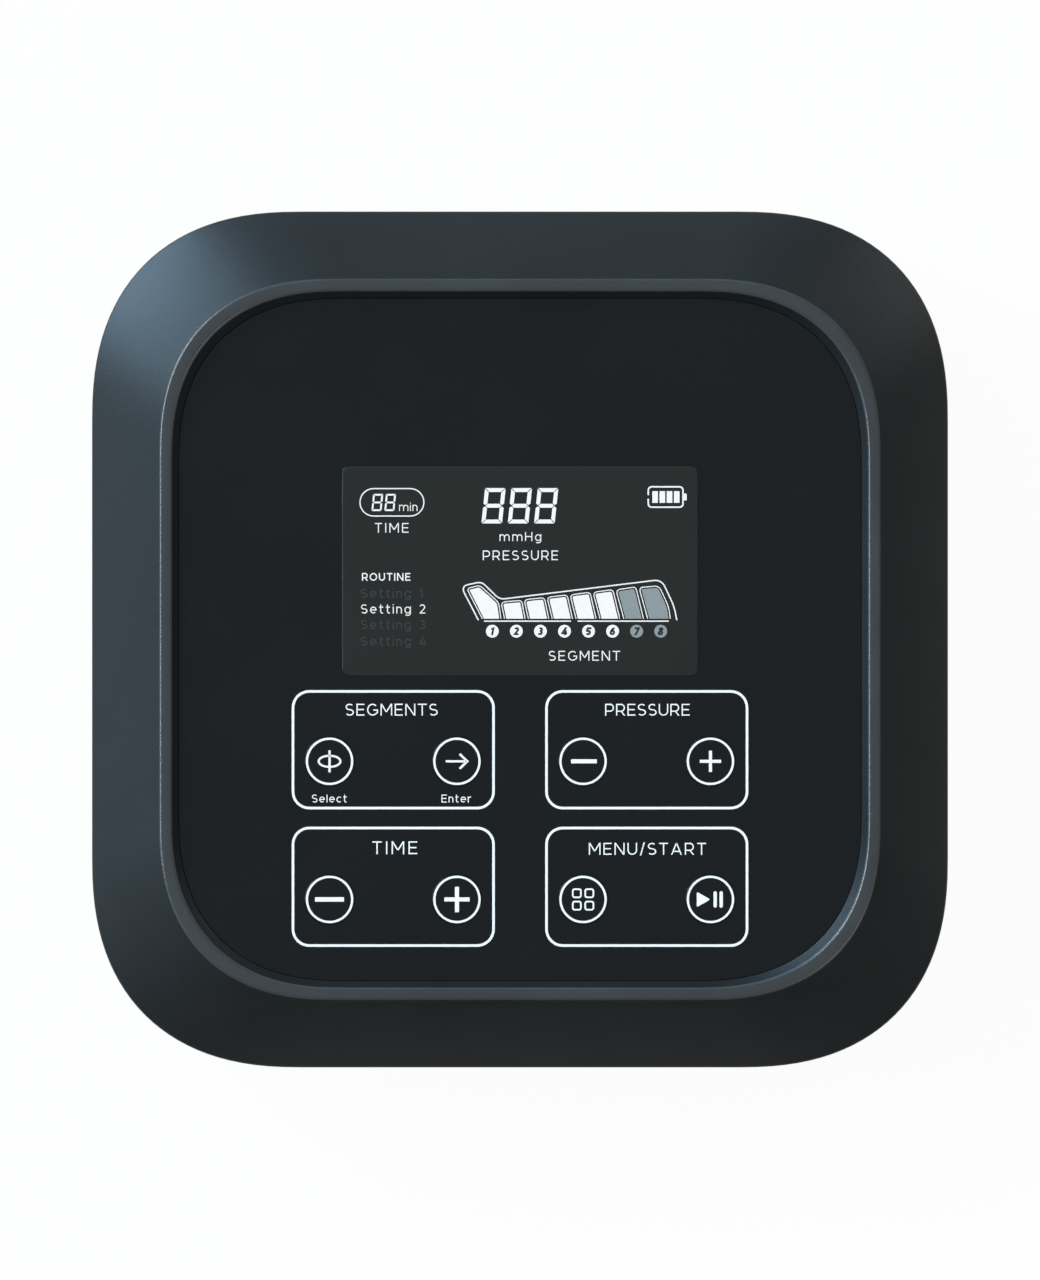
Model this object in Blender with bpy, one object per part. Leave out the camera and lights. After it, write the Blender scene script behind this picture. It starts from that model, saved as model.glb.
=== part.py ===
"""Compression therapy pump for eight-chamber leg sleeves, as the pieces it is assembled from.

Metres, +Z up through the control face, +Y towards the rear panel with the two hose sockets.
The origin lies under the middle of the case, on the surface that the feet stand on.
"""
import math

import bmesh
import bpy
from mathutils import Matrix, Vector

# Clearances, overruns and the fineness of round pieces
GAP = 0.0003
OVERRUN = 0.002
ROUND_SIDES = 16
SMALL_SIDES = 8

# Case: a square with long superellipse corners, a sloped shoulder and a flat raised rim.
# Its side follows from the control face, and its height from what is stacked inside.
CASE_WALL = 0.0025
CORNER_REACH = 0.049
CORNER_POWER = 2.4
CORNER_STEPS = 8
INSET_REACH_SHARE = 0.5
SHOULDER_WIDTH = 0.0158
SHOULDER_DROP = 0.0125
SHOULDER_EDGE = 0.0007
RIM_WIDTH = 0.0028
RIM_SLOPE_WIDTH = 0.0018
PANEL_SINK = 0.0015
PARTING_HEIGHT = 0.028
PARTING_CHAMFER = 0.0006
TONGUE_WIDTH = 0.0011
TONGUE_HEIGHT = 0.002
BASE_RADIUS = 0.008
BASE_STEPS = 3

# Feet, pressed into shallow pockets of the underside
FOOT_STAND = 0.0025
FOOT_POCKET = 0.001
FOOT_RADIUS = 0.008
FOOT_TAPER = 0.0008
FOOT_SIDE_INSET = 0.040
FOOT_END_INSET = 0.020

# Case screws, sunk in bosses from below
CASE_SCREW_INSET = 0.028
CASE_SCREW_LENGTH = 0.022
CASE_SCREW_SINK = 0.0055
SCREW_HEAD_RADIUS = 0.0035
SCREW_HEAD_HEIGHT = 0.0026
SCREW_RECESS_RADIUS = 0.0014
SCREW_RECESS_DEPTH = 0.0015
SCREW_SHANK_RADIUS = 0.0016
CASE_BOSS_RADIUS = 0.005
CASE_BOSS_HEIGHT = 0.019
PILOT_DEPTH = 0.012

# Control panel with the display window and the keys' holes
PANEL_THICKNESS = 0.0015
PANEL_FRONT_MARGIN = 0.019
WINDOW_WIDTH = 0.0832
WINDOW_HEIGHT = 0.0491
WINDOW_Y = 0.016
WINDOW_RADIUS = 0.0019
WINDOW_STEPS = 3
GLASS_LAP = 0.0034
GLASS_THICKNESS = 0.0025
BACKLIGHT_INSET = 0.001
BACKLIGHT_THICKNESS = 0.0051

# Keys
KEY_GROUP_PITCH = 0.0294
KEY_PITCH = 0.0297
KEY_ROW_PITCH = 0.0322
WINDOW_TO_KEYS = 0.01985
KEY_RADIUS = 0.0058
KEY_EDGE = 0.0003
KEY_FLANGE_RADIUS = 0.007
KEY_FLANGE_HEIGHT = 0.001
KEY_STEM_RADIUS = 0.0014
KEY_TRAVEL = 0.0006

# Key board under the panel, held by heat stakes of the top cover
BOARD_THICKNESS = 0.0015
KEY_BOARD_SIDE_GAP = 0.002
KEY_BOARD_FRONT_MARGIN = 0.0094
KEY_BOARD_REAR_MARGIN = 0.008
SWITCH_SIDE = 0.0062
SWITCH_HEIGHT = 0.0035
STAKE_RADIUS = 0.0026
STAKE_PIN_RADIUS = 0.0013
STAKE_HEAD_HEIGHT = 0.0012

# Rear panel, clamped behind an opening in both covers
REAR_OPENING_LOW = 0.014
REAR_OPENING_SIDE_MARGIN = 0.004
REAR_OPENING_TOP_MARGIN = 0.0082
REAR_OPENING_RADIUS = 0.004
REAR_PANEL_LAP = 0.003
REAR_PANEL_THICKNESS = 0.0025
REAR_RIB_X = 0.036
REAR_RIB_WIDTH = 0.010
REAR_RIB_DEPTH = 0.003
REAR_RIB_HEIGHT = 0.012

# Hose sockets
SOCKET_SPACING = 0.008
SOCKET_WIDTH = 0.034
SOCKET_HEIGHT = 0.018
SOCKET_DEPTH = 0.015
SOCKET_WALL = 0.002
SOCKET_FLOOR = 0.003
SOCKET_FLANGE_LAP = 0.002
SOCKET_FLANGE_THICKNESS = 0.0018
SOCKET_RADIUS = 0.003
NIPPLE_COLUMNS = 4
NIPPLE_ROWS = 2
NIPPLE_PITCH_X = 0.008
NIPPLE_PITCH_Z = 0.009
NIPPLE_RADIUS = 0.0019
NIPPLE_TIP_RADIUS = 0.0014
NIPPLE_TIP_LENGTH = 0.002
NIPPLE_REACH = 0.0105

# Air manifold and its solenoid valves
MANIFOLD_SIDE_GAP = 0.001
MANIFOLD_DEPTH = 0.0117
MANIFOLD_HEIGHT = 0.020
MANIFOLD_NIPPLE_INSET = 0.0037
MANIFOLD_NIPPLE_LENGTH = 0.007
MANIFOLD_POST_WIDTH = 0.008
VALVE_COUNT = 8
VALVE_END_MARGIN = 0.006
VALVE_SPACING = 0.0025
VALVE_LENGTH = 0.022
VALVE_HEIGHT = 0.018
VALVE_COIL_SHARE = 0.6
VALVE_COIL_INSET = 0.0012
VALVE_EDGE = 0.0008

# Power socket
POWER_FLANGE_RADIUS = 0.007
POWER_FLANGE_THICKNESS = 0.0015
POWER_BODY_RADIUS = 0.0055
POWER_BORE_RADIUS = 0.0032
POWER_BORE_DEPTH = 0.010
POWER_FLOOR = 0.002
POWER_PIN_RADIUS = 0.001
POWER_PIN_SINK = 0.0015
POWER_TAG_RADIUS = 0.0018
POWER_TAG_LENGTH = 0.0012

# Rocker switch
ROCKER_MARGIN = 0.0013
ROCKER_OPENING_WIDTH = 0.016
ROCKER_OPENING_HEIGHT = 0.0094
ROCKER_OPENING_DEPTH = 0.012
ROCKER_FRAME_WALL = 0.0025
ROCKER_FRAME_LAP = 0.0015
ROCKER_FRAME_THICKNESS = 0.0015
ROCKER_FRAME_FLOOR = 0.002
ROCKER_PIVOT_SINK = 0.0037
ROCKER_PIVOT_RADIUS = 0.0012
ROCKER_PIVOT_LENGTH = 0.0015
ROCKER_HALF_LENGTH = 0.0072
ROCKER_EDGE_HEIGHT = 0.0036
ROCKER_VALLEY_HEIGHT = 0.0026
ROCKER_SKIRT_DEPTH = 0.0006
ROCKER_KEEL_HALF_WIDTH = 0.002
ROCKER_KEEL_DEPTH = 0.003
ROCKER_SWING_DEGREES = 16

# Battery pack, strapped to the floor
BATTERY_SIDE_INSET = 0.050
BATTERY_FRONT_GAP = 0.007
BATTERY_SIDE_GAP = 0.0005
BATTERY_LENGTH = 0.095
BATTERY_HEIGHT = 0.022
BATTERY_RADIUS = 0.009
CLAMP_WIDTH = 0.012
CLAMP_THICKNESS = 0.0012
CLAMP_FOOT = 0.008
BATTERY_RIB_WIDTH = 0.030
BATTERY_RIB_THICKNESS = 0.002
BATTERY_RIB_HEIGHT = 0.010

# Main board over the battery, with what is soldered on it
MAIN_BOARD_WIDTH = 0.076
MAIN_BOARD_OVERLAP = 0.0005
MAIN_BOARD_Z = 0.035
STANDOFF_RADIUS = 0.0035
STANDOFF_INSET = 0.004
STANDOFF_BORE_DEPTH = 0.009
BOARD_SCREW_LENGTH = 0.008
RIBBON_SIDE_SHARE = 0.2632
RIBBON_FRONT_MARGIN = 0.0285
RIBBON_WIDTH = 0.016
RIBBON_THICKNESS = 0.0005
RIBBON_SWAY = 0.005
RIBBON_STEPS = 12
RIBBON_PLUG_WIDTH = 0.020
RIBBON_PLUG_DEPTH = 0.005
RIBBON_PLUG_HEIGHT = 0.004
CHIP_SIDE = 0.014
CHIP_HEIGHT = 0.0018
CAPACITOR_RADIUS = 0.005
CAPACITOR_HEIGHT = 0.012
CAPACITOR_PITCH = 0.012
CAPACITOR_COUNT = 3
HEAT_SINK_WIDTH = 0.024
HEAT_SINK_DEPTH = 0.010
HEAT_SINK_HEIGHT = 0.014
TERMINAL_INSET = 0.012
TERMINAL_WIDTH = 0.008
TERMINAL_LENGTH = 0.036
TERMINAL_HEIGHT = 0.009
BUZZER_SPACING = 0.004
BUZZER_RADIUS = 0.006
BUZZER_HEIGHT = 0.0075
BUZZER_HOLE_RADIUS = 0.001
BUZZER_HOLE_DEPTH = 0.002
SENSOR_SIDE = 0.012
SENSOR_SPACING = 0.001
SENSOR_HEIGHT = 0.008
SENSOR_NIPPLE_RADIUS = 0.0015
SENSOR_NIPPLE_LENGTH = 0.006
SENSOR_NIPPLE_HEIGHT = 0.0041

# Diaphragm pump: motor, crankcase, diaphragm and valve cover, on rubber saddles
PUMP_TO_VALVES = 0.0227
PUMP_HEADROOM = 0.0069
MOTOR_RADIUS = 0.018
MOTOR_LENGTH = 0.056
MOTOR_EDGE = 0.0015
MOTOR_BOSS_RADIUS = 0.006
MOTOR_BOSS_LENGTH = 0.002
SHAFT_RADIUS = 0.002
SHAFT_END_REACH = 0.002
CRANKCASE_WIDTH = 0.044
CRANKCASE_LENGTH = 0.034
CRANKCASE_HEIGHT = 0.040
CRANKCASE_BACK_WALL = 0.0057
CRANKCASE_FRONT_WALL = 0.0063
CRANKCASE_SIDE_WALL = 0.008
CRANKCASE_FLOOR = 0.006
CRANKCASE_RADIUS = 0.004
ECCENTRIC_CLEARANCE = 0.0035
ECCENTRIC_OFFSET = 0.0025
ECCENTRIC_LENGTH = 0.010
SHAFT_FRONT_REACH = 0.004
DIAPHRAGM_THICKNESS = 0.002
DIAPHRAGM_PAD_RADIUS = 0.006
DIAPHRAGM_PAD_DEPTH = 0.005
PUMP_COVER_HEIGHT = 0.010
PUMP_NIPPLE_RADIUS = 0.002
PUMP_NIPPLE_LENGTH = 0.008
PUMP_NIPPLE_INSET = 0.0077
FILTER_RADIUS = 0.0075
FILTER_LENGTH = 0.011
FILTER_EDGE = 0.001
FILTER_SINK = 0.0057
SADDLE_WIDTH = 0.034
SADDLE_HEIGHT = 0.0084
MOTOR_SADDLE_LENGTH = 0.014
MOTOR_SADDLE_GRIP = 0.008
HEAD_SADDLE_LENGTH = 0.018
HOSE_RADIUS = 0.0030
SENSE_HOSE_RADIUS = 0.0022
HOSE_STEPS = 3

# Intake slots in the floor under the pump
VENT_COUNT = 5
VENT_LENGTH = 0.032
VENT_WIDTH = 0.002
VENT_PITCH = 0.0055

# Places on the control face, and the case's widths that follow from them
KEY_INNER_X = KEY_GROUP_PITCH / 2
KEY_OUTER_X = KEY_INNER_X + KEY_PITCH
KEY_UPPER_Y = WINDOW_Y - WINDOW_HEIGHT / 2 - WINDOW_TO_KEYS
KEY_LOWER_Y = KEY_UPPER_Y - KEY_ROW_PITCH
RECESS_HALF = PANEL_FRONT_MARGIN - KEY_LOWER_Y
RIM_INNER_HALF = RECESS_HALF + RIM_SLOPE_WIDTH
RIM_HALF = RIM_INNER_HALF + RIM_WIDTH
CASE_HALF = RIM_HALF + SHOULDER_WIDTH
INNER_HALF = CASE_HALF - CASE_WALL
GLASS_WIDTH = WINDOW_WIDTH + 2 * GLASS_LAP
GLASS_HEIGHT = WINDOW_HEIGHT + 2 * GLASS_LAP
CASE_SCREW_PLACE = CASE_HALF - CASE_SCREW_INSET
INSIDE_SCREWS = CASE_SCREW_PLACE - CASE_BOSS_RADIUS
FOOT_X = CASE_HALF - FOOT_SIDE_INSET
FOOT_Y = CASE_HALF - FOOT_END_INSET
KEY_BOARD_WIDTH = 2 * (INSIDE_SCREWS - KEY_BOARD_SIDE_GAP)
KEY_BOARD_FRONT = KEY_LOWER_Y - KEY_BOARD_FRONT_MARGIN
KEY_BOARD_REAR = WINDOW_Y + GLASS_HEIGHT / 2 + KEY_BOARD_REAR_MARGIN

# Heights, from the floor of the case up through the pump and the key board to the rim
FLOOR_TOP = FOOT_STAND + CASE_WALL
BASE_CENTRE_Z = FOOT_STAND + BASE_RADIUS
CRANKCASE_BOTTOM = FLOOR_TOP + GAP + SADDLE_HEIGHT + GAP
CRANKCASE_TOP = CRANKCASE_BOTTOM + CRANKCASE_HEIGHT
PUMP_Z = (CRANKCASE_BOTTOM + CRANKCASE_TOP) / 2
DIAPHRAGM_BOTTOM = CRANKCASE_TOP + GAP
PUMP_COVER_BOTTOM = DIAPHRAGM_BOTTOM + DIAPHRAGM_THICKNESS + GAP
PUMP_NIPPLE_Z = PUMP_COVER_BOTTOM + PUMP_COVER_HEIGHT / 2
STAKE_BOTTOM = PUMP_COVER_BOTTOM + PUMP_COVER_HEIGHT + PUMP_HEADROOM
KEY_BOARD_BOTTOM = STAKE_BOTTOM + STAKE_HEAD_HEIGHT + GAP
KEY_BOARD_TOP = KEY_BOARD_BOTTOM + BOARD_THICKNESS
BACKLIGHT_BOTTOM = KEY_BOARD_TOP + GAP
BACKLIGHT_TOP = BACKLIGHT_BOTTOM + BACKLIGHT_THICKNESS
GLASS_BOTTOM = BACKLIGHT_TOP + GAP
DECK_TOP = GLASS_BOTTOM + GLASS_THICKNESS
DECK_BOTTOM = DECK_TOP - CASE_WALL
PANEL_BOTTOM = DECK_TOP + GAP
PANEL_TOP = PANEL_BOTTOM + PANEL_THICKNESS
CASE_HEIGHT = PANEL_TOP + PANEL_SINK
SHOULDER_Z = CASE_HEIGHT - SHOULDER_DROP
SWITCH_TOP = KEY_BOARD_TOP + SWITCH_HEIGHT
KEY_FLANGE_TOP = DECK_BOTTOM - GAP
KEY_TIP = SWITCH_TOP - GAP

# Rear unit: sockets above, power inlet and switch below
ROCKER_FRAME_HALF_HEIGHT = ROCKER_OPENING_HEIGHT / 2 + ROCKER_FRAME_WALL + ROCKER_FRAME_LAP
ROCKER_Z = REAR_OPENING_LOW + ROCKER_MARGIN + ROCKER_FRAME_HALF_HEIGHT
REAR_OPENING_HIGH = SHOULDER_Z - REAR_OPENING_TOP_MARGIN
REAR_OPENING_HEIGHT = REAR_OPENING_HIGH - REAR_OPENING_LOW
REAR_MIDDLE_Z = (REAR_OPENING_HIGH + REAR_OPENING_LOW) / 2
SOCKET_FLANGE_HALF_WIDTH = SOCKET_WIDTH / 2 + SOCKET_WALL + SOCKET_FLANGE_LAP
SOCKET_X = SOCKET_FLANGE_HALF_WIDTH + SOCKET_SPACING / 2
SOCKET_Z = (REAR_OPENING_HIGH + ROCKER_Z + ROCKER_FRAME_HALF_HEIGHT) / 2
REAR_OPENING_WIDTH = 2 * (SOCKET_X + SOCKET_FLANGE_HALF_WIDTH + REAR_OPENING_SIDE_MARGIN)
REAR_FACE = INNER_HALF - GAP
REAR_BACK = REAR_FACE - REAR_PANEL_THICKNESS
SOCKET_FRONT = INNER_HALF + SOCKET_FLANGE_THICKNESS
SOCKET_FLOOR_Y = SOCKET_FRONT - SOCKET_DEPTH
MANIFOLD_REAR = SOCKET_FLOOR_Y - SOCKET_FLOOR - GAP
MANIFOLD_FRONT = MANIFOLD_REAR - MANIFOLD_DEPTH
MANIFOLD_BOTTOM = SOCKET_Z - MANIFOLD_HEIGHT / 2
MANIFOLD_WIDTH = 2 * (INSIDE_SCREWS - MANIFOLD_SIDE_GAP)
MANIFOLD_NIPPLE_X = MANIFOLD_WIDTH / 2 - MANIFOLD_NIPPLE_INSET
VALVE_PITCH = (MANIFOLD_WIDTH - 2 * VALVE_END_MARGIN) / VALVE_COUNT
VALVE_WIDTH = VALVE_PITCH - VALVE_SPACING
VALVE_FRONT = MANIFOLD_FRONT - GAP - VALVE_LENGTH

# Pump, in line with the manifold's nipple and in front of the valves
PUMP_NIPPLE_X = CRANKCASE_WIDTH / 2 - PUMP_NIPPLE_INSET
PUMP_X = MANIFOLD_NIPPLE_X - PUMP_NIPPLE_X
CRANKCASE_FRONT_Y = VALVE_FRONT - PUMP_TO_VALVES
CRANKCASE_REAR_Y = CRANKCASE_FRONT_Y - CRANKCASE_LENGTH
MOTOR_FRONT_Y = CRANKCASE_REAR_Y - GAP
MOTOR_REAR_Y = MOTOR_FRONT_Y - MOTOR_LENGTH
PUMP_NIPPLE_TIP_Y = CRANKCASE_FRONT_Y + PUMP_NIPPLE_LENGTH
CAVITY_BOTTOM = CRANKCASE_BOTTOM + CRANKCASE_FLOOR
ECCENTRIC_RADIUS = PUMP_Z - CAVITY_BOTTOM - ECCENTRIC_OFFSET - ECCENTRIC_CLEARANCE
MOTOR_MIDDLE_Y = (MOTOR_FRONT_Y + MOTOR_REAR_Y) / 2
CRANKCASE_MIDDLE_Y = (CRANKCASE_FRONT_Y + CRANKCASE_REAR_Y) / 2

# Battery between its standoffs, and the main board over it
BATTERY_X = BATTERY_SIDE_INSET - CASE_HALF
BATTERY_Y = BATTERY_FRONT_GAP + BATTERY_LENGTH / 2 - INSIDE_SCREWS
STANDOFF_X = MAIN_BOARD_WIDTH / 2 - STANDOFF_INSET
BATTERY_WIDTH = 2 * (STANDOFF_X - STANDOFF_RADIUS - BATTERY_SIDE_GAP)
MAIN_BOARD_LENGTH = BATTERY_LENGTH + 2 * MAIN_BOARD_OVERLAP
STANDOFF_Y = MAIN_BOARD_LENGTH / 2 - STANDOFF_INSET
MAIN_BOARD_TOP = MAIN_BOARD_Z + BOARD_THICKNESS
ON_MAIN_BOARD = MAIN_BOARD_TOP + GAP
MAIN_BOARD_FRONT = BATTERY_Y - MAIN_BOARD_LENGTH / 2
MAIN_BOARD_REAR = BATTERY_Y + MAIN_BOARD_LENGTH / 2
RIBBON_X = BATTERY_X + MAIN_BOARD_WIDTH * RIBBON_SIDE_SHARE
RIBBON_Y = MAIN_BOARD_FRONT + RIBBON_FRONT_MARGIN
BUZZER_Y = RIBBON_Y - RIBBON_PLUG_DEPTH / 2 - BUZZER_RADIUS - BUZZER_SPACING
HEAT_SINK_Y = MAIN_BOARD_REAR - HEAT_SINK_WIDTH
TERMINAL_Y = MAIN_BOARD_REAR - TERMINAL_WIDTH - TERMINAL_LENGTH / 2
SENSOR_X = BATTERY_X - (HEAT_SINK_WIDTH + SENSOR_SIDE) / 2 - SENSOR_SPACING
SENSOR_Y = HEAT_SINK_Y
SENSOR_NIPPLE_Z = ON_MAIN_BOARD + SENSOR_NIPPLE_HEIGHT

KEYS = {
    "key_position": (-KEY_OUTER_X, KEY_UPPER_Y),
    "key_confirm": (-KEY_INNER_X, KEY_UPPER_Y),
    "key_pressure_down": (KEY_INNER_X, KEY_UPPER_Y),
    "key_pressure_up": (KEY_OUTER_X, KEY_UPPER_Y),
    "key_time_down": (-KEY_OUTER_X, KEY_LOWER_Y),
    "key_time_up": (-KEY_INNER_X, KEY_LOWER_Y),
    "key_mode": (KEY_INNER_X, KEY_LOWER_Y),
    "key_start": (KEY_OUTER_X, KEY_LOWER_Y),
}
CORNERS = {"front_left": (-1, -1), "front_right": (1, -1), "rear_left": (-1, 1), "rear_right": (1, 1)}
STAKE_ROWS = (
    KEY_LOWER_Y,
    (WINDOW_Y - GLASS_HEIGHT / 2 + KEY_UPPER_Y + KEY_FLANGE_RADIUS) / 2,
    KEY_BOARD_REAR - KEY_BOARD_REAR_MARGIN / 2,
)
STAKES = [(side * (KEY_INNER_X + KEY_OUTER_X) / 2, y) for side in (-1, 1) for y in STAKE_ROWS]
STAKES.append((0, (KEY_UPPER_Y + KEY_LOWER_Y) / 2))
STANDOFFS = {
    name: (BATTERY_X + side * STANDOFF_X, BATTERY_Y + end * STANDOFF_Y) for name, (side, end) in CORNERS.items()
}


def clear_scene():
    """Removes whatever the file opened with."""
    for item in list(bpy.data.objects):
        bpy.data.objects.remove(item)


def finish(name, colour, roughness, metallic=0.0):
    """A plain Principled material."""
    result = bpy.data.materials.new(name)
    result.use_nodes = True
    shader = result.node_tree.nodes["Principled BSDF"]
    shader.inputs["Base Color"].default_value = (*colour, 1)
    shader.inputs["Roughness"].default_value = roughness
    shader.inputs["Metallic"].default_value = metallic
    return result


# Outlines, as lists of points in a plane

def case_outline(half):
    """The case's rounded square, drawn in from its outer edge to a half width."""
    reach = CORNER_REACH - INSET_REACH_SHARE * (CASE_HALF - half)
    centre = half - reach
    corner = []
    for step in range(CORNER_STEPS + 1):
        angle = math.pi / 2 * step / CORNER_STEPS
        across = max(math.cos(angle), 0) ** (2 / CORNER_POWER)
        along = max(math.sin(angle), 0) ** (2 / CORNER_POWER)
        corner.append((centre + reach * across, centre + reach * along))
    points = []
    for turn in range(4):
        quarter = Matrix.Rotation(math.pi / 2 * turn, 2)
        points += [tuple(quarter @ Vector(point)) for point in corner]
    return points


def rounded_rectangle(width, height, radius, steps=WINDOW_STEPS):
    """A rectangle about the origin with round corners."""
    points = []
    for turn, (side, end) in enumerate(((1, 1), (-1, 1), (-1, -1), (1, -1))):
        for step in range(steps + 1):
            angle = math.pi / 2 * (turn + step / steps)
            points.append((
                side * (width / 2 - radius) + radius * math.cos(angle),
                end * (height / 2 - radius) + radius * math.sin(angle),
            ))
    return points


def rectangle(width, height):
    """A rectangle about the origin."""
    return [(side * width / 2, end * height / 2) for side, end in ((1, 1), (-1, 1), (-1, -1), (1, -1))]


def circle(radius, sides):
    """A regular polygon that stands for a circle."""
    return [
        (radius * math.cos(2 * math.pi * step / sides), radius * math.sin(2 * math.pi * step / sides))
        for step in range(sides)
    ]


# Bodies, made about their own origin and then placed

AXES = {
    "X": Matrix(((0, 0, 1), (1, 0, 0), (0, 1, 0))),
    "Y": Matrix(((-1, 0, 0), (0, 0, 1), (0, 1, 0))),
    "Z": Matrix.Identity(3),
}


def body(name, rings, place=(0, 0, 0), axis="Z", skin=None, bored=False):
    """A closed body through rings of (outline, height) along an axis, capped unless bored."""
    mesh = bmesh.new()
    turn = AXES[axis]
    rows = [[mesh.verts.new(turn @ Vector((x, y, height))) for x, y in outline] for outline, height in rings]
    pairs = list(zip(rows, rows[1:]))
    if bored:
        pairs.append((rows[-1], rows[0]))
    for lower, upper in pairs:
        for here, corner in enumerate(lower):
            after = (here + 1) % len(lower)
            mesh.faces.new((corner, lower[after], upper[after], upper[here]))
    if not bored:
        mesh.faces.new(rows[0])
        mesh.faces.new(rows[-1])
    bmesh.ops.recalc_face_normals(mesh, faces=mesh.faces)
    data = bpy.data.meshes.new(name)
    mesh.to_mesh(data)
    mesh.free()
    item = bpy.data.objects.new(name, data)
    item.location = place
    bpy.context.scene.collection.objects.link(item)
    if skin:
        data.materials.append(skin)
    return item


def prism(name, outline, low, high, place=(0, 0, 0), axis="Z", skin=None):
    """An outline drawn out along an axis from low to high."""
    return body(name, [(outline, low), (outline, high)], place, axis, skin)


def turned(name, profile, place=(0, 0, 0), axis="Z", skin=None, sides=ROUND_SIDES, bored=False):
    """A round body through (radius, height) stations along an axis."""
    return body(name, [(circle(radius, sides), height) for radius, height in profile], place, axis, skin, bored)


def block(name, width, depth, height, place, skin=None):
    """A box that stands with the middle of its lower face at a place."""
    return prism(name, rectangle(width, depth), 0, height, place, "Z", skin)


def tube(name, points, radius, skin):
    """A hose along a smooth route through points, as a curve with filled caps."""
    route = []
    for index in range(len(points) - 1):
        before, start, end, after = (
            Vector(points[min(max(index + shift, 0), len(points) - 1)]) for shift in (-1, 0, 1, 2)
        )
        for step in range(HOSE_STEPS):
            share = step / HOSE_STEPS
            route.append(0.5 * (
                2 * start + (end - before) * share
                + (2 * before - 5 * start + 4 * end - after) * share ** 2
                + (3 * start - before - 3 * end + after) * share ** 3
            ))
    route.append(Vector(points[-1]))
    curve = bpy.data.curves.new(name, "CURVE")
    curve.dimensions = "3D"
    curve.bevel_depth = radius
    curve.bevel_resolution = 2
    curve.use_fill_caps = True
    spline = curve.splines.new("POLY")
    spline.points.add(len(route) - 1)
    for point, place in zip(spline.points, route):
        point.co = (*place, 1)
    item = bpy.data.objects.new(name, curve)
    bpy.context.scene.collection.objects.link(item)
    curve.materials.append(skin)
    return item


def combine(target, operation, tools):
    """Cuts tools from a body or fuses them with it, one after the other, and removes them."""
    for tool in tools:
        step = target.modifiers.new("Combine", "BOOLEAN")
        step.operation = operation
        step.solver = "EXACT"
        step.object = tool
        graph = bpy.context.evaluated_depsgraph_get()
        result = bpy.data.meshes.new_from_object(target.evaluated_get(graph))
        target.modifiers.remove(step)
        target.data = result
        bpy.data.objects.remove(tool)


def cut(target, tools):
    """Cuts tools from a body."""
    combine(target, "DIFFERENCE", tools)


def fuse(target, tools):
    """Makes one body of a body and its bosses."""
    combine(target, "UNION", tools)


def shade(angle_degrees=30):
    """Smooths the round faces of every mesh and keeps its edges sharp."""
    for item in bpy.context.scene.objects:
        if item.type == "MESH":
            item.data.shade_smooth()
            item.data.set_sharp_from_angle(angle=math.radians(angle_degrees))


# Case

def rear_opening(clearance=0.0):
    """The opening's outline across the rear wall, as (x, z) about its middle."""
    return rounded_rectangle(
        REAR_OPENING_WIDTH + 2 * clearance, REAR_OPENING_HEIGHT + 2 * clearance, REAR_OPENING_RADIUS + clearance
    )


def rear_cutter():
    """Cuts the rear opening out of a cover's wall."""
    return prism(
        "rear_cutter", rear_opening(), INNER_HALF - OVERRUN, CASE_HALF + OVERRUN, (0, 0, REAR_MIDDLE_Z), "Y"
    )


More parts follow.
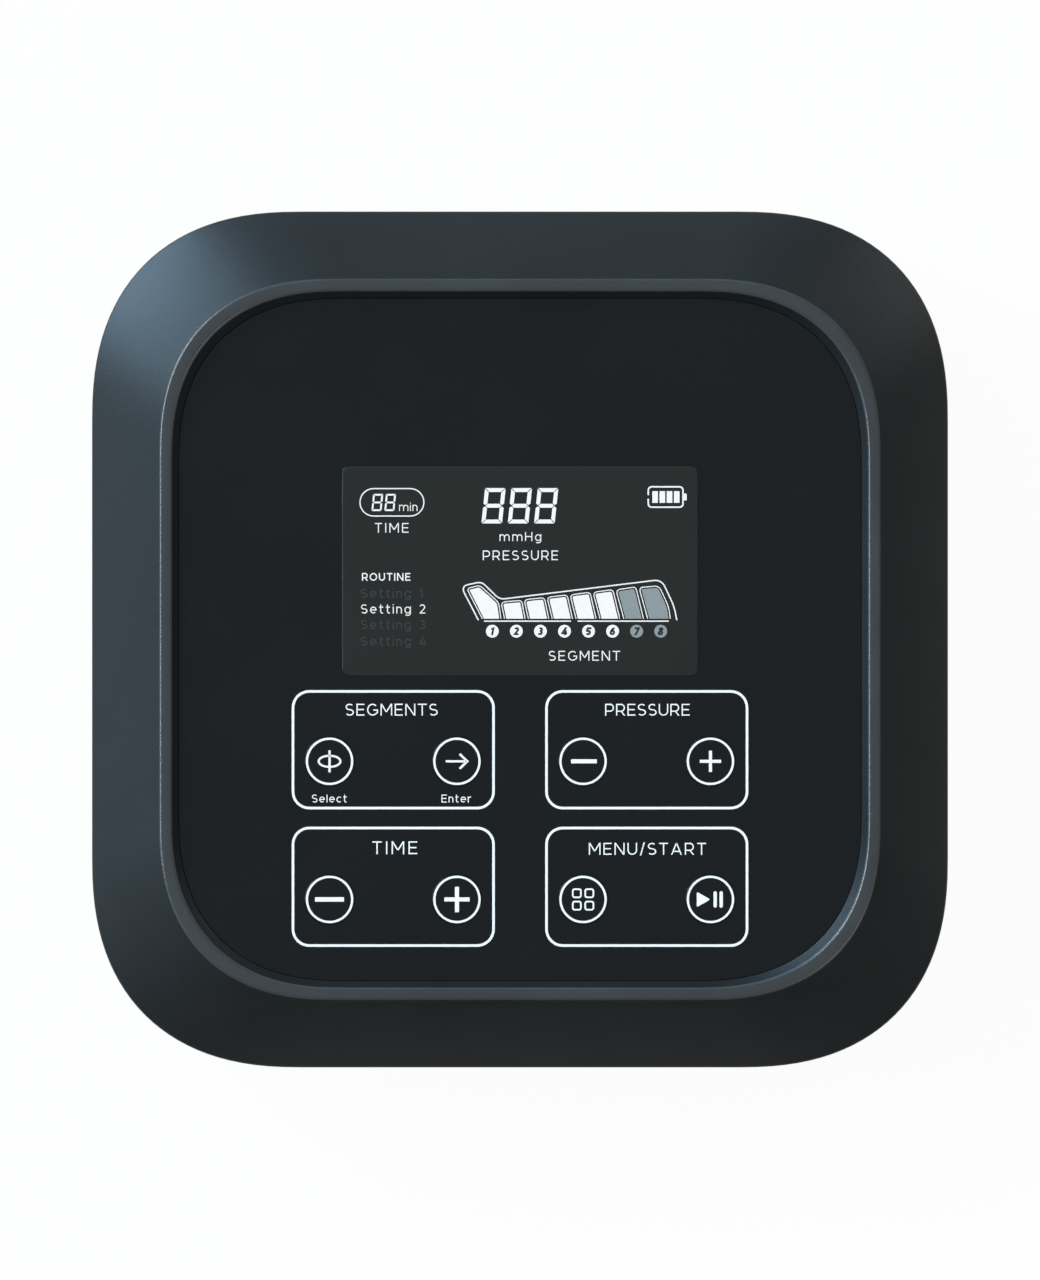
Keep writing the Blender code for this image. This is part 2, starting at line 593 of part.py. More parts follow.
def make_top_cover(skin):
    """Walls, shoulder, rim and the deck that carries the control panel."""
    slope = math.hypot(SHOULDER_WIDTH, SHOULDER_DROP)
    edge_in = SHOULDER_EDGE * SHOULDER_WIDTH / slope
    edge_up = SHOULDER_EDGE * SHOULDER_DROP / slope
    lower_edge = PARTING_HEIGHT + GAP / 2
    rebate_half = INNER_HALF + TONGUE_WIDTH + GAP
    rebate_top = PARTING_HEIGHT + TONGUE_HEIGHT + GAP
    inner_drop = (slope - SHOULDER_DROP) * CASE_WALL / SHOULDER_WIDTH
    inner_shoulder = SHOULDER_Z - inner_drop
    inner_top_half = INNER_HALF - (DECK_BOTTOM - inner_shoulder) * SHOULDER_WIDTH / SHOULDER_DROP
    stations = [
        (RECESS_HALF, DECK_TOP),
        (RECESS_HALF, PANEL_TOP),
        (RIM_INNER_HALF, CASE_HEIGHT),
        (RIM_HALF, CASE_HEIGHT),
        (CASE_HALF - edge_in, SHOULDER_Z + edge_up),
        (CASE_HALF, SHOULDER_Z - SHOULDER_EDGE),
        (CASE_HALF, lower_edge + PARTING_CHAMFER),
        (CASE_HALF - PARTING_CHAMFER, lower_edge),
        (rebate_half, lower_edge),
        (rebate_half, rebate_top),
        (INNER_HALF, rebate_top),
        (INNER_HALF, inner_shoulder),
        (inner_top_half, DECK_BOTTOM),
    ]
    cover = body("top_cover", [(case_outline(half), z) for half, z in stations], skin=skin)
    post_low = FLOOR_TOP + CASE_BOSS_HEIGHT + GAP
    posts = []
    pilots = []
    for side, end in CORNERS.values():
        place = (side * CASE_SCREW_PLACE, end * CASE_SCREW_PLACE, 0)
        posts.append(turned(
            "post", [(CASE_BOSS_RADIUS, post_low), (CASE_BOSS_RADIUS, DECK_BOTTOM + GAP)], place, sides=SMALL_SIDES
        ))
        bore = SCREW_SHANK_RADIUS + GAP
        pilots.append(turned(
            "pilot", [(bore, post_low - OVERRUN), (bore, post_low + PILOT_DEPTH)], place, sides=SMALL_SIDES
        ))
    stake_top = DECK_BOTTOM + OVERRUN / 2
    stake_profile = [
        (STAKE_RADIUS, stake_top),
        (STAKE_RADIUS, KEY_BOARD_TOP + GAP),
        (STAKE_PIN_RADIUS, KEY_BOARD_TOP + GAP),
        (STAKE_PIN_RADIUS, KEY_BOARD_BOTTOM - GAP),
        (STAKE_RADIUS, KEY_BOARD_BOTTOM - GAP),
        (STAKE_RADIUS, STAKE_BOTTOM),
    ]
    stakes = [turned("stake", stake_profile, (x, y, 0), sides=SMALL_SIDES) for x, y in STAKES]
    fuse(cover, posts + stakes)
    opening = rectangle(GLASS_WIDTH + 2 * GAP, GLASS_HEIGHT + 2 * GAP)
    through = (DECK_BOTTOM - OVERRUN, DECK_TOP + OVERRUN)
    holes = [
        turned("key_hole", [(KEY_RADIUS + GAP, z) for z in through], (x, y, 0)) for x, y in KEYS.values()
    ]
    cut(cover, pilots + holes + [prism("display_hole", opening, *through, (0, WINDOW_Y, 0)), rear_cutter()])
    return cover


def make_bottom_cover(skin):
    """Tray with the bosses and ribs that carry the inner units."""
    stations = []
    for step in range(BASE_STEPS + 1):
        angle = math.pi / 2 * step / BASE_STEPS
        stations.append((
            CASE_HALF - BASE_RADIUS + BASE_RADIUS * math.sin(angle),
            BASE_CENTRE_Z - BASE_RADIUS * math.cos(angle),
        ))
    upper_edge = PARTING_HEIGHT - GAP / 2
    tongue_half = INNER_HALF + TONGUE_WIDTH
    tongue_top = PARTING_HEIGHT + TONGUE_HEIGHT
    stations += [
        (CASE_HALF, upper_edge - PARTING_CHAMFER),
        (CASE_HALF - PARTING_CHAMFER, upper_edge),
        (tongue_half, upper_edge),
        (tongue_half, tongue_top),
        (INNER_HALF, tongue_top),
    ]
    inner_radius = BASE_RADIUS - CASE_WALL
    for step in range(BASE_STEPS, -1, -1):
        angle = math.pi / 2 * step / BASE_STEPS
        stations.append((
            CASE_HALF - BASE_RADIUS + inner_radius * math.sin(angle),
            BASE_CENTRE_Z - inner_radius * math.cos(angle),
        ))
    cover = body("bottom_cover", [(case_outline(half), z) for half, z in stations], skin=skin)

    root = FLOOR_TOP - OVERRUN / 2
    bosses = []
    holes = []
    for side, end in CORNERS.values():
        place = (side * CASE_SCREW_PLACE, end * CASE_SCREW_PLACE, 0)
        boss_top = FLOOR_TOP + CASE_BOSS_HEIGHT
        bosses.append(turned(
            "boss", [(CASE_BOSS_RADIUS, root), (CASE_BOSS_RADIUS, boss_top)], place, sides=SMALL_SIDES
        ))
        sink = SCREW_HEAD_RADIUS + GAP
        bore = SCREW_SHANK_RADIUS + GAP
        ledge = FOOT_STAND + CASE_SCREW_SINK + SCREW_HEAD_HEIGHT + GAP
        holes.append(turned("screw_hole", [
            (sink, FOOT_STAND - OVERRUN), (sink, ledge), (bore, ledge), (bore, boss_top + OVERRUN),
        ], place, sides=SMALL_SIDES))
        pocket = FOOT_STAND + FOOT_POCKET
        holes.append(turned(
            "pocket", [(FOOT_RADIUS + GAP, FOOT_STAND - OVERRUN), (FOOT_RADIUS + GAP, pocket)],
            (side * FOOT_X, end * FOOT_Y, 0),
        ))
    for x, y in STANDOFFS.values():
        top = MAIN_BOARD_Z - GAP
        bosses.append(turned(
            "standoff", [(STANDOFF_RADIUS, root), (STANDOFF_RADIUS, top)], (x, y, 0), sides=SMALL_SIDES
        ))
        bore = SCREW_SHANK_RADIUS + GAP
        holes.append(turned(
            "bore", [(bore, top - STANDOFF_BORE_DEPTH), (bore, top + OVERRUN)], (x, y, 0), sides=SMALL_SIDES
        ))
    for side in (-1, 1):
        bosses.append(block(
            "manifold_post", MANIFOLD_POST_WIDTH, MANIFOLD_POST_WIDTH, MANIFOLD_BOTTOM - GAP - root,
            (side * (MANIFOLD_WIDTH - MANIFOLD_POST_WIDTH) / 2, (MANIFOLD_FRONT + MANIFOLD_REAR) / 2, root),
        ))
        bosses.append(block(
            "rear_rib", REAR_RIB_WIDTH, REAR_RIB_DEPTH, REAR_RIB_HEIGHT,
            (side * REAR_RIB_X, REAR_BACK - GAP - REAR_RIB_DEPTH / 2, root),
        ))
        end_y = BATTERY_Y + side * (BATTERY_LENGTH / 2 + GAP + BATTERY_RIB_THICKNESS / 2)
        bosses.append(block(
            "battery_rib", BATTERY_RIB_WIDTH, BATTERY_RIB_THICKNESS, BATTERY_RIB_HEIGHT, (BATTERY_X, end_y, root)
        ))
    vent_middle = (MOTOR_MIDDLE_Y + MOTOR_SADDLE_LENGTH / 2 + CRANKCASE_MIDDLE_Y - HEAD_SADDLE_LENGTH / 2) / 2
    for index in range(VENT_COUNT):
        y = vent_middle + (index - (VENT_COUNT - 1) / 2) * VENT_PITCH
        holes.append(block(
            "vent", VENT_LENGTH, VENT_WIDTH, CASE_WALL + 2 * OVERRUN, (PUMP_X, y, FOOT_STAND - OVERRUN)
        ))
    fuse(cover, bosses)
    cut(cover, holes + [rear_cutter()])
    return cover


def screw_profile(length):
    """Head with a driver recess, then the shank, from the head's outer face along the axis."""
    return [
        (SCREW_RECESS_RADIUS, SCREW_RECESS_DEPTH),
        (SCREW_RECESS_RADIUS, 0),
        (SCREW_HEAD_RADIUS, 0),
        (SCREW_HEAD_RADIUS, SCREW_HEAD_HEIGHT),
        (SCREW_SHANK_RADIUS, SCREW_HEAD_HEIGHT),
        (SCREW_SHANK_RADIUS, SCREW_HEAD_HEIGHT + length),
    ]


def make_case_hardware(rubber, steel):
    """Feet and case screws, one of each near every corner."""
    foot_profile = [
        (FOOT_RADIUS - FOOT_TAPER, 0),
        (FOOT_RADIUS, FOOT_TAPER),
        (FOOT_RADIUS, FOOT_STAND + FOOT_POCKET - GAP),
    ]
    for name, (side, end) in CORNERS.items():
        turned("foot_" + name, foot_profile, (side * FOOT_X, end * FOOT_Y, 0), skin=rubber)
        turned(
            "case_screw_" + name, screw_profile(CASE_SCREW_LENGTH),
            (side * CASE_SCREW_PLACE, end * CASE_SCREW_PLACE, FOOT_STAND + CASE_SCREW_SINK),
            skin=steel, sides=SMALL_SIDES,
        )


# Control face

def make_control_panel(skin):
    """Gloss plate in the rim's recess, with the window and eight key holes."""
    outline = case_outline(RECESS_HALF - GAP)
    panel = prism("control_panel", outline, PANEL_BOTTOM, PANEL_TOP, skin=skin)
    through = (PANEL_BOTTOM - OVERRUN, PANEL_TOP + OVERRUN)
    window = rounded_rectangle(WINDOW_WIDTH, WINDOW_HEIGHT, WINDOW_RADIUS)
    holes = [
        turned("key_hole", [(KEY_RADIUS + GAP, z) for z in through], (x, y, 0)) for x, y in KEYS.values()
    ]
    cut(panel, holes + [prism("window", window, *through, (0, WINDOW_Y, 0))])
    return panel


def make_display(lens_skin, glass_skin, backlight_skin):
    """Lens in the window, liquid crystal glass in the deck, backlight on the key board."""
    lens = rounded_rectangle(WINDOW_WIDTH - 2 * GAP, WINDOW_HEIGHT - 2 * GAP, WINDOW_RADIUS - GAP)
    place = (0, WINDOW_Y, 0)
    prism("display_lens", lens, PANEL_BOTTOM, PANEL_TOP, place, skin=lens_skin)
    prism("lcd_glass", rectangle(GLASS_WIDTH, GLASS_HEIGHT), GLASS_BOTTOM, DECK_TOP, place, skin=glass_skin)
    backlight = rectangle(GLASS_WIDTH - 2 * BACKLIGHT_INSET, GLASS_HEIGHT - 2 * BACKLIGHT_INSET)
    prism("lcd_backlight", backlight, BACKLIGHT_BOTTOM, BACKLIGHT_TOP, place, skin=backlight_skin)


def make_keys(skin):
    """Round caps with a flange under the deck and a stem over the switch, each at its own axis."""
    profile = [
        (KEY_STEM_RADIUS, KEY_TIP - PANEL_TOP),
        (KEY_STEM_RADIUS, KEY_FLANGE_TOP - KEY_FLANGE_HEIGHT - PANEL_TOP),
        (KEY_FLANGE_RADIUS, KEY_FLANGE_TOP - KEY_FLANGE_HEIGHT - PANEL_TOP),
        (KEY_FLANGE_RADIUS, KEY_FLANGE_TOP - PANEL_TOP),
        (KEY_RADIUS, KEY_FLANGE_TOP - PANEL_TOP),
        (KEY_RADIUS, -KEY_EDGE),
        (KEY_RADIUS - KEY_EDGE, 0),
    ]
    for name, (x, y) in KEYS.items():
        turned(name, profile, (x, y, PANEL_TOP), skin=skin)


def make_key_board(skin):
    """Circuit board with a soldered switch under each key and the ribbon's plug below."""
    length = KEY_BOARD_REAR - KEY_BOARD_FRONT
    board = block(
        "key_board", KEY_BOARD_WIDTH, length, BOARD_THICKNESS,
        (0, (KEY_BOARD_REAR + KEY_BOARD_FRONT) / 2, KEY_BOARD_BOTTOM), skin,
    )
    root = KEY_BOARD_TOP - BOARD_THICKNESS / 2
    switches = []
    wells = []
    well_floor = KEY_TIP - KEY_TRAVEL - GAP
    for x, y in KEYS.values():
        switches.append(block("switch", SWITCH_SIDE, SWITCH_SIDE, SWITCH_TOP - root, (x, y, root)))
        well_radius = KEY_STEM_RADIUS + GAP
        wells.append(turned(
            "well", [(well_radius, well_floor), (well_radius, SWITCH_TOP + OVERRUN)], (x, y, 0), sides=SMALL_SIDES
        ))
    plug = block(
        "plug", RIBBON_PLUG_WIDTH, RIBBON_PLUG_DEPTH, root - KEY_BOARD_BOTTOM + RIBBON_PLUG_HEIGHT,
        (RIBBON_X, RIBBON_Y, KEY_BOARD_BOTTOM - RIBBON_PLUG_HEIGHT),
    )
    stake_hole = STAKE_PIN_RADIUS + GAP
    holes = [
        turned(
            "stake_hole", [(stake_hole, KEY_BOARD_BOTTOM - OVERRUN), (stake_hole, KEY_BOARD_TOP + OVERRUN)],
            (x, y, 0), sides=SMALL_SIDES,
        )
        for x, y in STAKES
    ]
    fuse(board, switches + [plug])
    cut(board, wells + holes)
    return board


# Rear unit

def make_rear_panel(skin):
    """Plate behind the rear opening that carries sockets and switch."""
    place = (0, 0, REAR_MIDDLE_Z)
    panel = prism("rear_panel", rear_opening(REAR_PANEL_LAP), REAR_BACK, REAR_FACE, place, "Y", skin)
    through = (REAR_BACK - OVERRUN, REAR_FACE + OVERRUN)
    socket = rounded_rectangle(
        SOCKET_WIDTH + 2 * (SOCKET_WALL + GAP), SOCKET_HEIGHT + 2 * (SOCKET_WALL + GAP), SOCKET_RADIUS + GAP
    )
    switch = rectangle(
        ROCKER_OPENING_WIDTH + 2 * (ROCKER_FRAME_WALL + GAP), ROCKER_OPENING_HEIGHT + 2 * (ROCKER_FRAME_WALL + GAP)
    )
    holes = [prism("socket", socket, *through, (side * SOCKET_X, 0, SOCKET_Z), "Y") for side in (-1, 1)]
    holes.append(prism("switch", switch, *through, (SOCKET_X, 0, ROCKER_Z), "Y"))
    holes.append(turned(
        "jack", [(POWER_BODY_RADIUS + GAP, y) for y in through], (-SOCKET_X, 0, ROCKER_Z), "Y"
    ))
    cut(panel, holes)
    return panel


def nipple_places():
    """The nipples of one socket, as (x, z) about its middle."""
    return [
        (
            (column - (NIPPLE_COLUMNS - 1) / 2) * NIPPLE_PITCH_X,
            (row - (NIPPLE_ROWS - 1) / 2) * NIPPLE_PITCH_Z,
        )
        for column in range(NIPPLE_COLUMNS)
        for row in range(NIPPLE_ROWS)
    ]


def make_hose_socket(name, x, skin):
    """Flanged cup that a sleeve's hose plug goes into, with a hole for each nipple."""
    def outline(margin):
        return rounded_rectangle(SOCKET_WIDTH + 2 * margin, SOCKET_HEIGHT + 2 * margin, SOCKET_RADIUS)
    back = SOCKET_FLOOR_Y - SOCKET_FLOOR
    socket = body(name, [
        (outline(SOCKET_WALL), back),
        (outline(SOCKET_WALL), INNER_HALF),
        (outline(SOCKET_WALL + SOCKET_FLANGE_LAP), INNER_HALF),
        (outline(SOCKET_WALL + SOCKET_FLANGE_LAP), SOCKET_FRONT),
        (outline(0), SOCKET_FRONT),
        (outline(0), SOCKET_FLOOR_Y),
    ], (x, 0, SOCKET_Z), "Y", skin)
    bore = NIPPLE_RADIUS + GAP
    cut(socket, [
        turned(
            "nipple_hole", [(bore, back - OVERRUN), (bore, SOCKET_FLOOR_Y + OVERRUN)],
            (x + dx, 0, SOCKET_Z + dz), "Y", sides=SMALL_SIDES,
        )
        for dx, dz in nipple_places()
    ])
    return socket


def make_manifold(skin):
    """Air bar behind the sockets, with the nipples that stand in them and two hose nipples."""
    root = MANIFOLD_REAR - OVERRUN / 2
    tip = SOCKET_FLOOR_Y + NIPPLE_REACH
    manifold = block(
        "air_manifold", MANIFOLD_WIDTH, MANIFOLD_DEPTH, MANIFOLD_HEIGHT,
        (0, (MANIFOLD_FRONT + MANIFOLD_REAR) / 2, MANIFOLD_BOTTOM), skin,
    )
    profile = [(NIPPLE_RADIUS, root), (NIPPLE_RADIUS, tip - NIPPLE_TIP_LENGTH), (NIPPLE_TIP_RADIUS, tip)]
    nipples = [
        turned("nipple", profile, (side * SOCKET_X + dx, 0, SOCKET_Z + dz), "Y", sides=SMALL_SIDES)
        for side in (-1, 1)
        for dx, dz in nipple_places()
    ]
    for side, radius in ((-1, SENSOR_NIPPLE_RADIUS), (1, PUMP_NIPPLE_RADIUS)):
        ends = (MANIFOLD_FRONT - MANIFOLD_NIPPLE_LENGTH, MANIFOLD_FRONT + OVERRUN / 2)
        nipples.append(turned(
            "nipple", [(radius, y) for y in ends], (side * MANIFOLD_NIPPLE_X, 0, SOCKET_Z), "Y", sides=SMALL_SIDES
        ))
    fuse(manifold, nipples)
    return manifold


def make_valves(skin):
    """Solenoid valves side by side on the manifold's front, each a coil on a square body."""
    coil_length = VALVE_LENGTH * VALVE_COIL_SHARE
    for index in range(VALVE_COUNT):
        x = (index - (VALVE_COUNT - 1) / 2) * VALVE_PITCH
        full = rectangle(VALVE_WIDTH, VALVE_HEIGHT)
        coil = rectangle(VALVE_WIDTH - 2 * VALVE_COIL_INSET, VALVE_HEIGHT - 2 * VALVE_COIL_INSET)
        cap = rectangle(VALVE_WIDTH - 2 * VALVE_EDGE, VALVE_HEIGHT - 2 * VALVE_EDGE)
        body("valve_%d" % (index + 1), [
            (cap, 0),
            (full, VALVE_EDGE),
            (full, 2 * VALVE_EDGE),
            (coil, 2 * VALVE_EDGE),
            (coil, coil_length),
            (full, coil_length),
            (full, VALVE_LENGTH),
        ], (x, VALVE_FRONT, SOCKET_Z), "Y", skin)


def make_power_socket(skin, steel):
    """Round low-voltage inlet and its centre pin."""
    front = POWER_FLANGE_THICKNESS
    floor = front - POWER_BORE_DEPTH
    back = floor - POWER_FLOOR
    pin_bore = POWER_PIN_RADIUS + GAP
    place = (-SOCKET_X, INNER_HALF, ROCKER_Z)
    turned("power_socket", [
        (POWER_FLANGE_RADIUS, front),
        (POWER_FLANGE_RADIUS, 0),
        (POWER_BODY_RADIUS, 0),
        (POWER_BODY_RADIUS, back),
        (pin_bore, back),
        (pin_bore, floor),
        (POWER_BORE_RADIUS, floor),
        (POWER_BORE_RADIUS, front),
    ], place, "Y", skin, bored=True)
    turned("power_socket_pin", [
        (POWER_TAG_RADIUS, back - GAP - POWER_TAG_LENGTH),
        (POWER_TAG_RADIUS, back - GAP),
        (POWER_PIN_RADIUS, back - GAP),
        (POWER_PIN_RADIUS, front - POWER_PIN_SINK),
    ], place, "Y", steel, SMALL_SIDES)


def make_rocker_switch(frame_skin, rocker_skin):
    """Bezel with a deep opening, and the rocker on its upright axle, resting tilted to off."""
    def outline(margin):
        return rectangle(ROCKER_OPENING_WIDTH + 2 * margin, ROCKER_OPENING_HEIGHT + 2 * margin)
    front = ROCKER_FRAME_THICKNESS
    floor = front - ROCKER_OPENING_DEPTH
    place = (SOCKET_X, INNER_HALF, ROCKER_Z)
    frame = body("rocker_frame", [
        (outline(ROCKER_FRAME_WALL), floor - ROCKER_FRAME_FLOOR),
        (outline(ROCKER_FRAME_WALL), 0),
        (outline(ROCKER_FRAME_WALL + ROCKER_FRAME_LAP), 0),
        (outline(ROCKER_FRAME_WALL + ROCKER_FRAME_LAP), front),
        (outline(0), front),
        (outline(0), floor),
    ], place, "Y", frame_skin)
    pivot = Vector(place) + Vector((0, front - ROCKER_PIVOT_SINK, 0))
    reach = ROCKER_OPENING_HEIGHT / 2 + ROCKER_PIVOT_LENGTH
    seat = ROCKER_PIVOT_RADIUS + GAP
    cut(frame, [turned("seat", [(seat, -reach), (seat, reach)], pivot, sides=SMALL_SIDES)])

    profile = [
        (-ROCKER_HALF_LENGTH, ROCKER_EDGE_HEIGHT),
        (-ROCKER_HALF_LENGTH, -ROCKER_SKIRT_DEPTH),
        (-ROCKER_KEEL_HALF_WIDTH, -ROCKER_KEEL_DEPTH),
        (ROCKER_KEEL_HALF_WIDTH, -ROCKER_KEEL_DEPTH),
        (ROCKER_HALF_LENGTH, -ROCKER_SKIRT_DEPTH),
        (ROCKER_HALF_LENGTH, ROCKER_EDGE_HEIGHT),
        (0, ROCKER_VALLEY_HEIGHT),
    ]
    half_height = ROCKER_OPENING_HEIGHT / 2 - GAP
    rocker = prism("power_rocker", profile, -half_height, half_height, pivot, skin=rocker_skin)
    axle_half = reach - GAP
    rocker.rotation_euler.z = -math.radians(ROCKER_SWING_DEGREES) / 2
    fuse(rocker, [turned(
        "axle", [(ROCKER_PIVOT_RADIUS, -axle_half), (ROCKER_PIVOT_RADIUS, axle_half)], pivot, sides=SMALL_SIDES
    )])
    return frame


# Battery and main board

def make_battery(pack_skin, clamp_skin):
    """Pack on the floor and the steel strap over it."""
    base = FLOOR_TOP + GAP
    place = (BATTERY_X, BATTERY_Y, base)
    pack = rounded_rectangle(BATTERY_WIDTH, BATTERY_HEIGHT, BATTERY_RADIUS)
    half_length = BATTERY_LENGTH / 2
    middle = (BATTERY_X, BATTERY_Y, base + BATTERY_HEIGHT / 2)
    prism("battery_pack", pack, -half_length, half_length, middle, "Y", pack_skin)
    inner = BATTERY_WIDTH / 2 + GAP
    outer = inner + CLAMP_THICKNESS
    foot = outer + CLAMP_FOOT
    under = BATTERY_HEIGHT + GAP
    half = [
        (inner, under),
        (inner, 0),
        (foot, 0),
        (foot, CLAMP_THICKNESS),
        (outer, CLAMP_THICKNESS),
        (outer, under + CLAMP_THICKNESS),
    ]
    outline = half + [(-x, z) for x, z in reversed(half)]
    prism("battery_clamp", outline, -CLAMP_WIDTH / 2, CLAMP_WIDTH / 2, place, "Y", clamp_skin)


def make_main_board(skin, steel):
    """Board on four standoffs with its plugs, capacitors, chip, heat sink and screws."""
    board = block(
        "main_board", MAIN_BOARD_WIDTH, MAIN_BOARD_LENGTH, BOARD_THICKNESS,
        (BATTERY_X, BATTERY_Y, MAIN_BOARD_Z), skin,
    )
    root = MAIN_BOARD_TOP - BOARD_THICKNESS / 2
    sunk = BOARD_THICKNESS / 2
    left = BATTERY_X - MAIN_BOARD_WIDTH / 2
    right = BATTERY_X + MAIN_BOARD_WIDTH / 2
    parts = [
        block("plug", RIBBON_PLUG_WIDTH, RIBBON_PLUG_DEPTH, RIBBON_PLUG_HEIGHT + sunk, (RIBBON_X, RIBBON_Y, root)),
        block("chip", CHIP_SIDE, CHIP_SIDE, CHIP_HEIGHT + sunk, (BATTERY_X - CHIP_SIDE, RIBBON_Y, root)),
        block(
            "heat_sink", HEAT_SINK_WIDTH, HEAT_SINK_DEPTH, HEAT_SINK_HEIGHT + sunk,
            (BATTERY_X, HEAT_SINK_Y, root),
        ),
        block(
            "terminals", TERMINAL_WIDTH, TERMINAL_LENGTH, TERMINAL_HEIGHT + sunk,
            (right - TERMINAL_INSET, TERMINAL_Y, root),
        ),
    ]
    for index in range(CAPACITOR_COUNT):
        place = (left + (index + 1) * CAPACITOR_PITCH, MAIN_BOARD_FRONT + CAPACITOR_PITCH, root)
        parts.append(turned(
            "capacitor", [(CAPACITOR_RADIUS, 0), (CAPACITOR_RADIUS, CAPACITOR_HEIGHT + sunk)], place,
            sides=SMALL_SIDES,
        ))
    fuse(board, parts)
    bore = SCREW_SHANK_RADIUS + GAP
    cut(board, [
        turned(
            "screw_hole", [(bore, MAIN_BOARD_Z - OVERRUN), (bore, MAIN_BOARD_TOP + OVERRUN)], (x, y, 0),
            sides=SMALL_SIDES,
        )
        for x, y in STANDOFFS.values()
    ])
    down = [(radius, -height) for radius, height in screw_profile(BOARD_SCREW_LENGTH)]
    for name, (x, y) in STANDOFFS.items():
        turned(
            "board_screw_" + name, down, (x, y, ON_MAIN_BOARD + SCREW_HEAD_HEIGHT), skin=steel, sides=SMALL_SIDES
        )
    return board


def make_board_units(plastic, sensor_skin, ribbon_skin):
    """Buzzer and pressure sensor on the main board, and the ribbon between the boards."""
    turned("buzzer", [
        (BUZZER_RADIUS, 0),
        (BUZZER_RADIUS, BUZZER_HEIGHT),
        (BUZZER_HOLE_RADIUS, BUZZER_HEIGHT),
        (BUZZER_HOLE_RADIUS, BUZZER_HEIGHT - BUZZER_HOLE_DEPTH),
    ], (RIBBON_X, BUZZER_Y, ON_MAIN_BOARD), skin=plastic)
    sensor = block(
        "pressure_sensor", SENSOR_SIDE, SENSOR_SIDE, SENSOR_HEIGHT, (SENSOR_X, SENSOR_Y, ON_MAIN_BOARD), sensor_skin
    )
    ends = (SENSOR_SIDE / 2 - OVERRUN / 2, SENSOR_SIDE / 2 + SENSOR_NIPPLE_LENGTH)
    fuse(sensor, [turned(
        "nipple", [(SENSOR_NIPPLE_RADIUS, y) for y in ends], (SENSOR_X, SENSOR_Y, SENSOR_NIPPLE_Z), "Y",
        sides=SMALL_SIDES,
    )])
    low = MAIN_BOARD_TOP + RIBBON_PLUG_HEIGHT + GAP
    high = KEY_BOARD_BOTTOM - RIBBON_PLUG_HEIGHT - GAP
    rings = []
    for step in range(RIBBON_STEPS + 1):
        share = step / RIBBON_STEPS
        y = RIBBON_SWAY * math.sin(2 * math.pi * share) * math.sin(math.pi * share)
        outline = [(x, y + depth) for x, depth in rectangle(RIBBON_WIDTH, RIBBON_THICKNESS)]
        rings.append((outline, low + (high - low) * share))
    body("display_ribbon", rings, (RIBBON_X, RIBBON_Y, 0), skin=ribbon_skin)


# Pump

def make_motor(steel, rotor_skin):
    """Motor can with its shaft bore, and the shaft with the eccentric in the crankcase."""
    bore = SHAFT_RADIUS + GAP
    axis = (PUMP_X, 0, PUMP_Z)
    turned("pump_motor", [
        (bore, MOTOR_REAR_Y - MOTOR_BOSS_LENGTH),
        (MOTOR_BOSS_RADIUS, MOTOR_REAR_Y - MOTOR_BOSS_LENGTH),
        (MOTOR_BOSS_RADIUS, MOTOR_REAR_Y),
        (MOTOR_RADIUS - MOTOR_EDGE, MOTOR_REAR_Y),
        (MOTOR_RADIUS, MOTOR_REAR_Y + MOTOR_EDGE),
        (MOTOR_RADIUS, MOTOR_FRONT_Y - MOTOR_EDGE),
        (MOTOR_RADIUS - MOTOR_EDGE, MOTOR_FRONT_Y),
        (bore, MOTOR_FRONT_Y),
    ], axis, "Y", steel, bored=True)
    shaft_rear = MOTOR_REAR_Y - MOTOR_BOSS_LENGTH - SHAFT_END_REACH
    cavity_front = CRANKCASE_FRONT_Y - CRANKCASE_FRONT_WALL
    cavity_rear = CRANKCASE_REAR_Y + CRANKCASE_BACK_WALL
    rotor = turned(
        "pump_rotor", [(SHAFT_RADIUS, shaft_rear), (SHAFT_RADIUS, cavity_front + SHAFT_FRONT_REACH)], axis, "Y",
        rotor_skin, SMALL_SIDES,
    )
    middle = (cavity_front + cavity_rear) / 2
    ends = (middle - ECCENTRIC_LENGTH / 2, middle + ECCENTRIC_LENGTH / 2)
    fuse(rotor, [turned(
        "eccentric", [(ECCENTRIC_RADIUS, y) for y in ends], (PUMP_X, 0, PUMP_Z + ECCENTRIC_OFFSET), "Y"
    )])
    return rotor


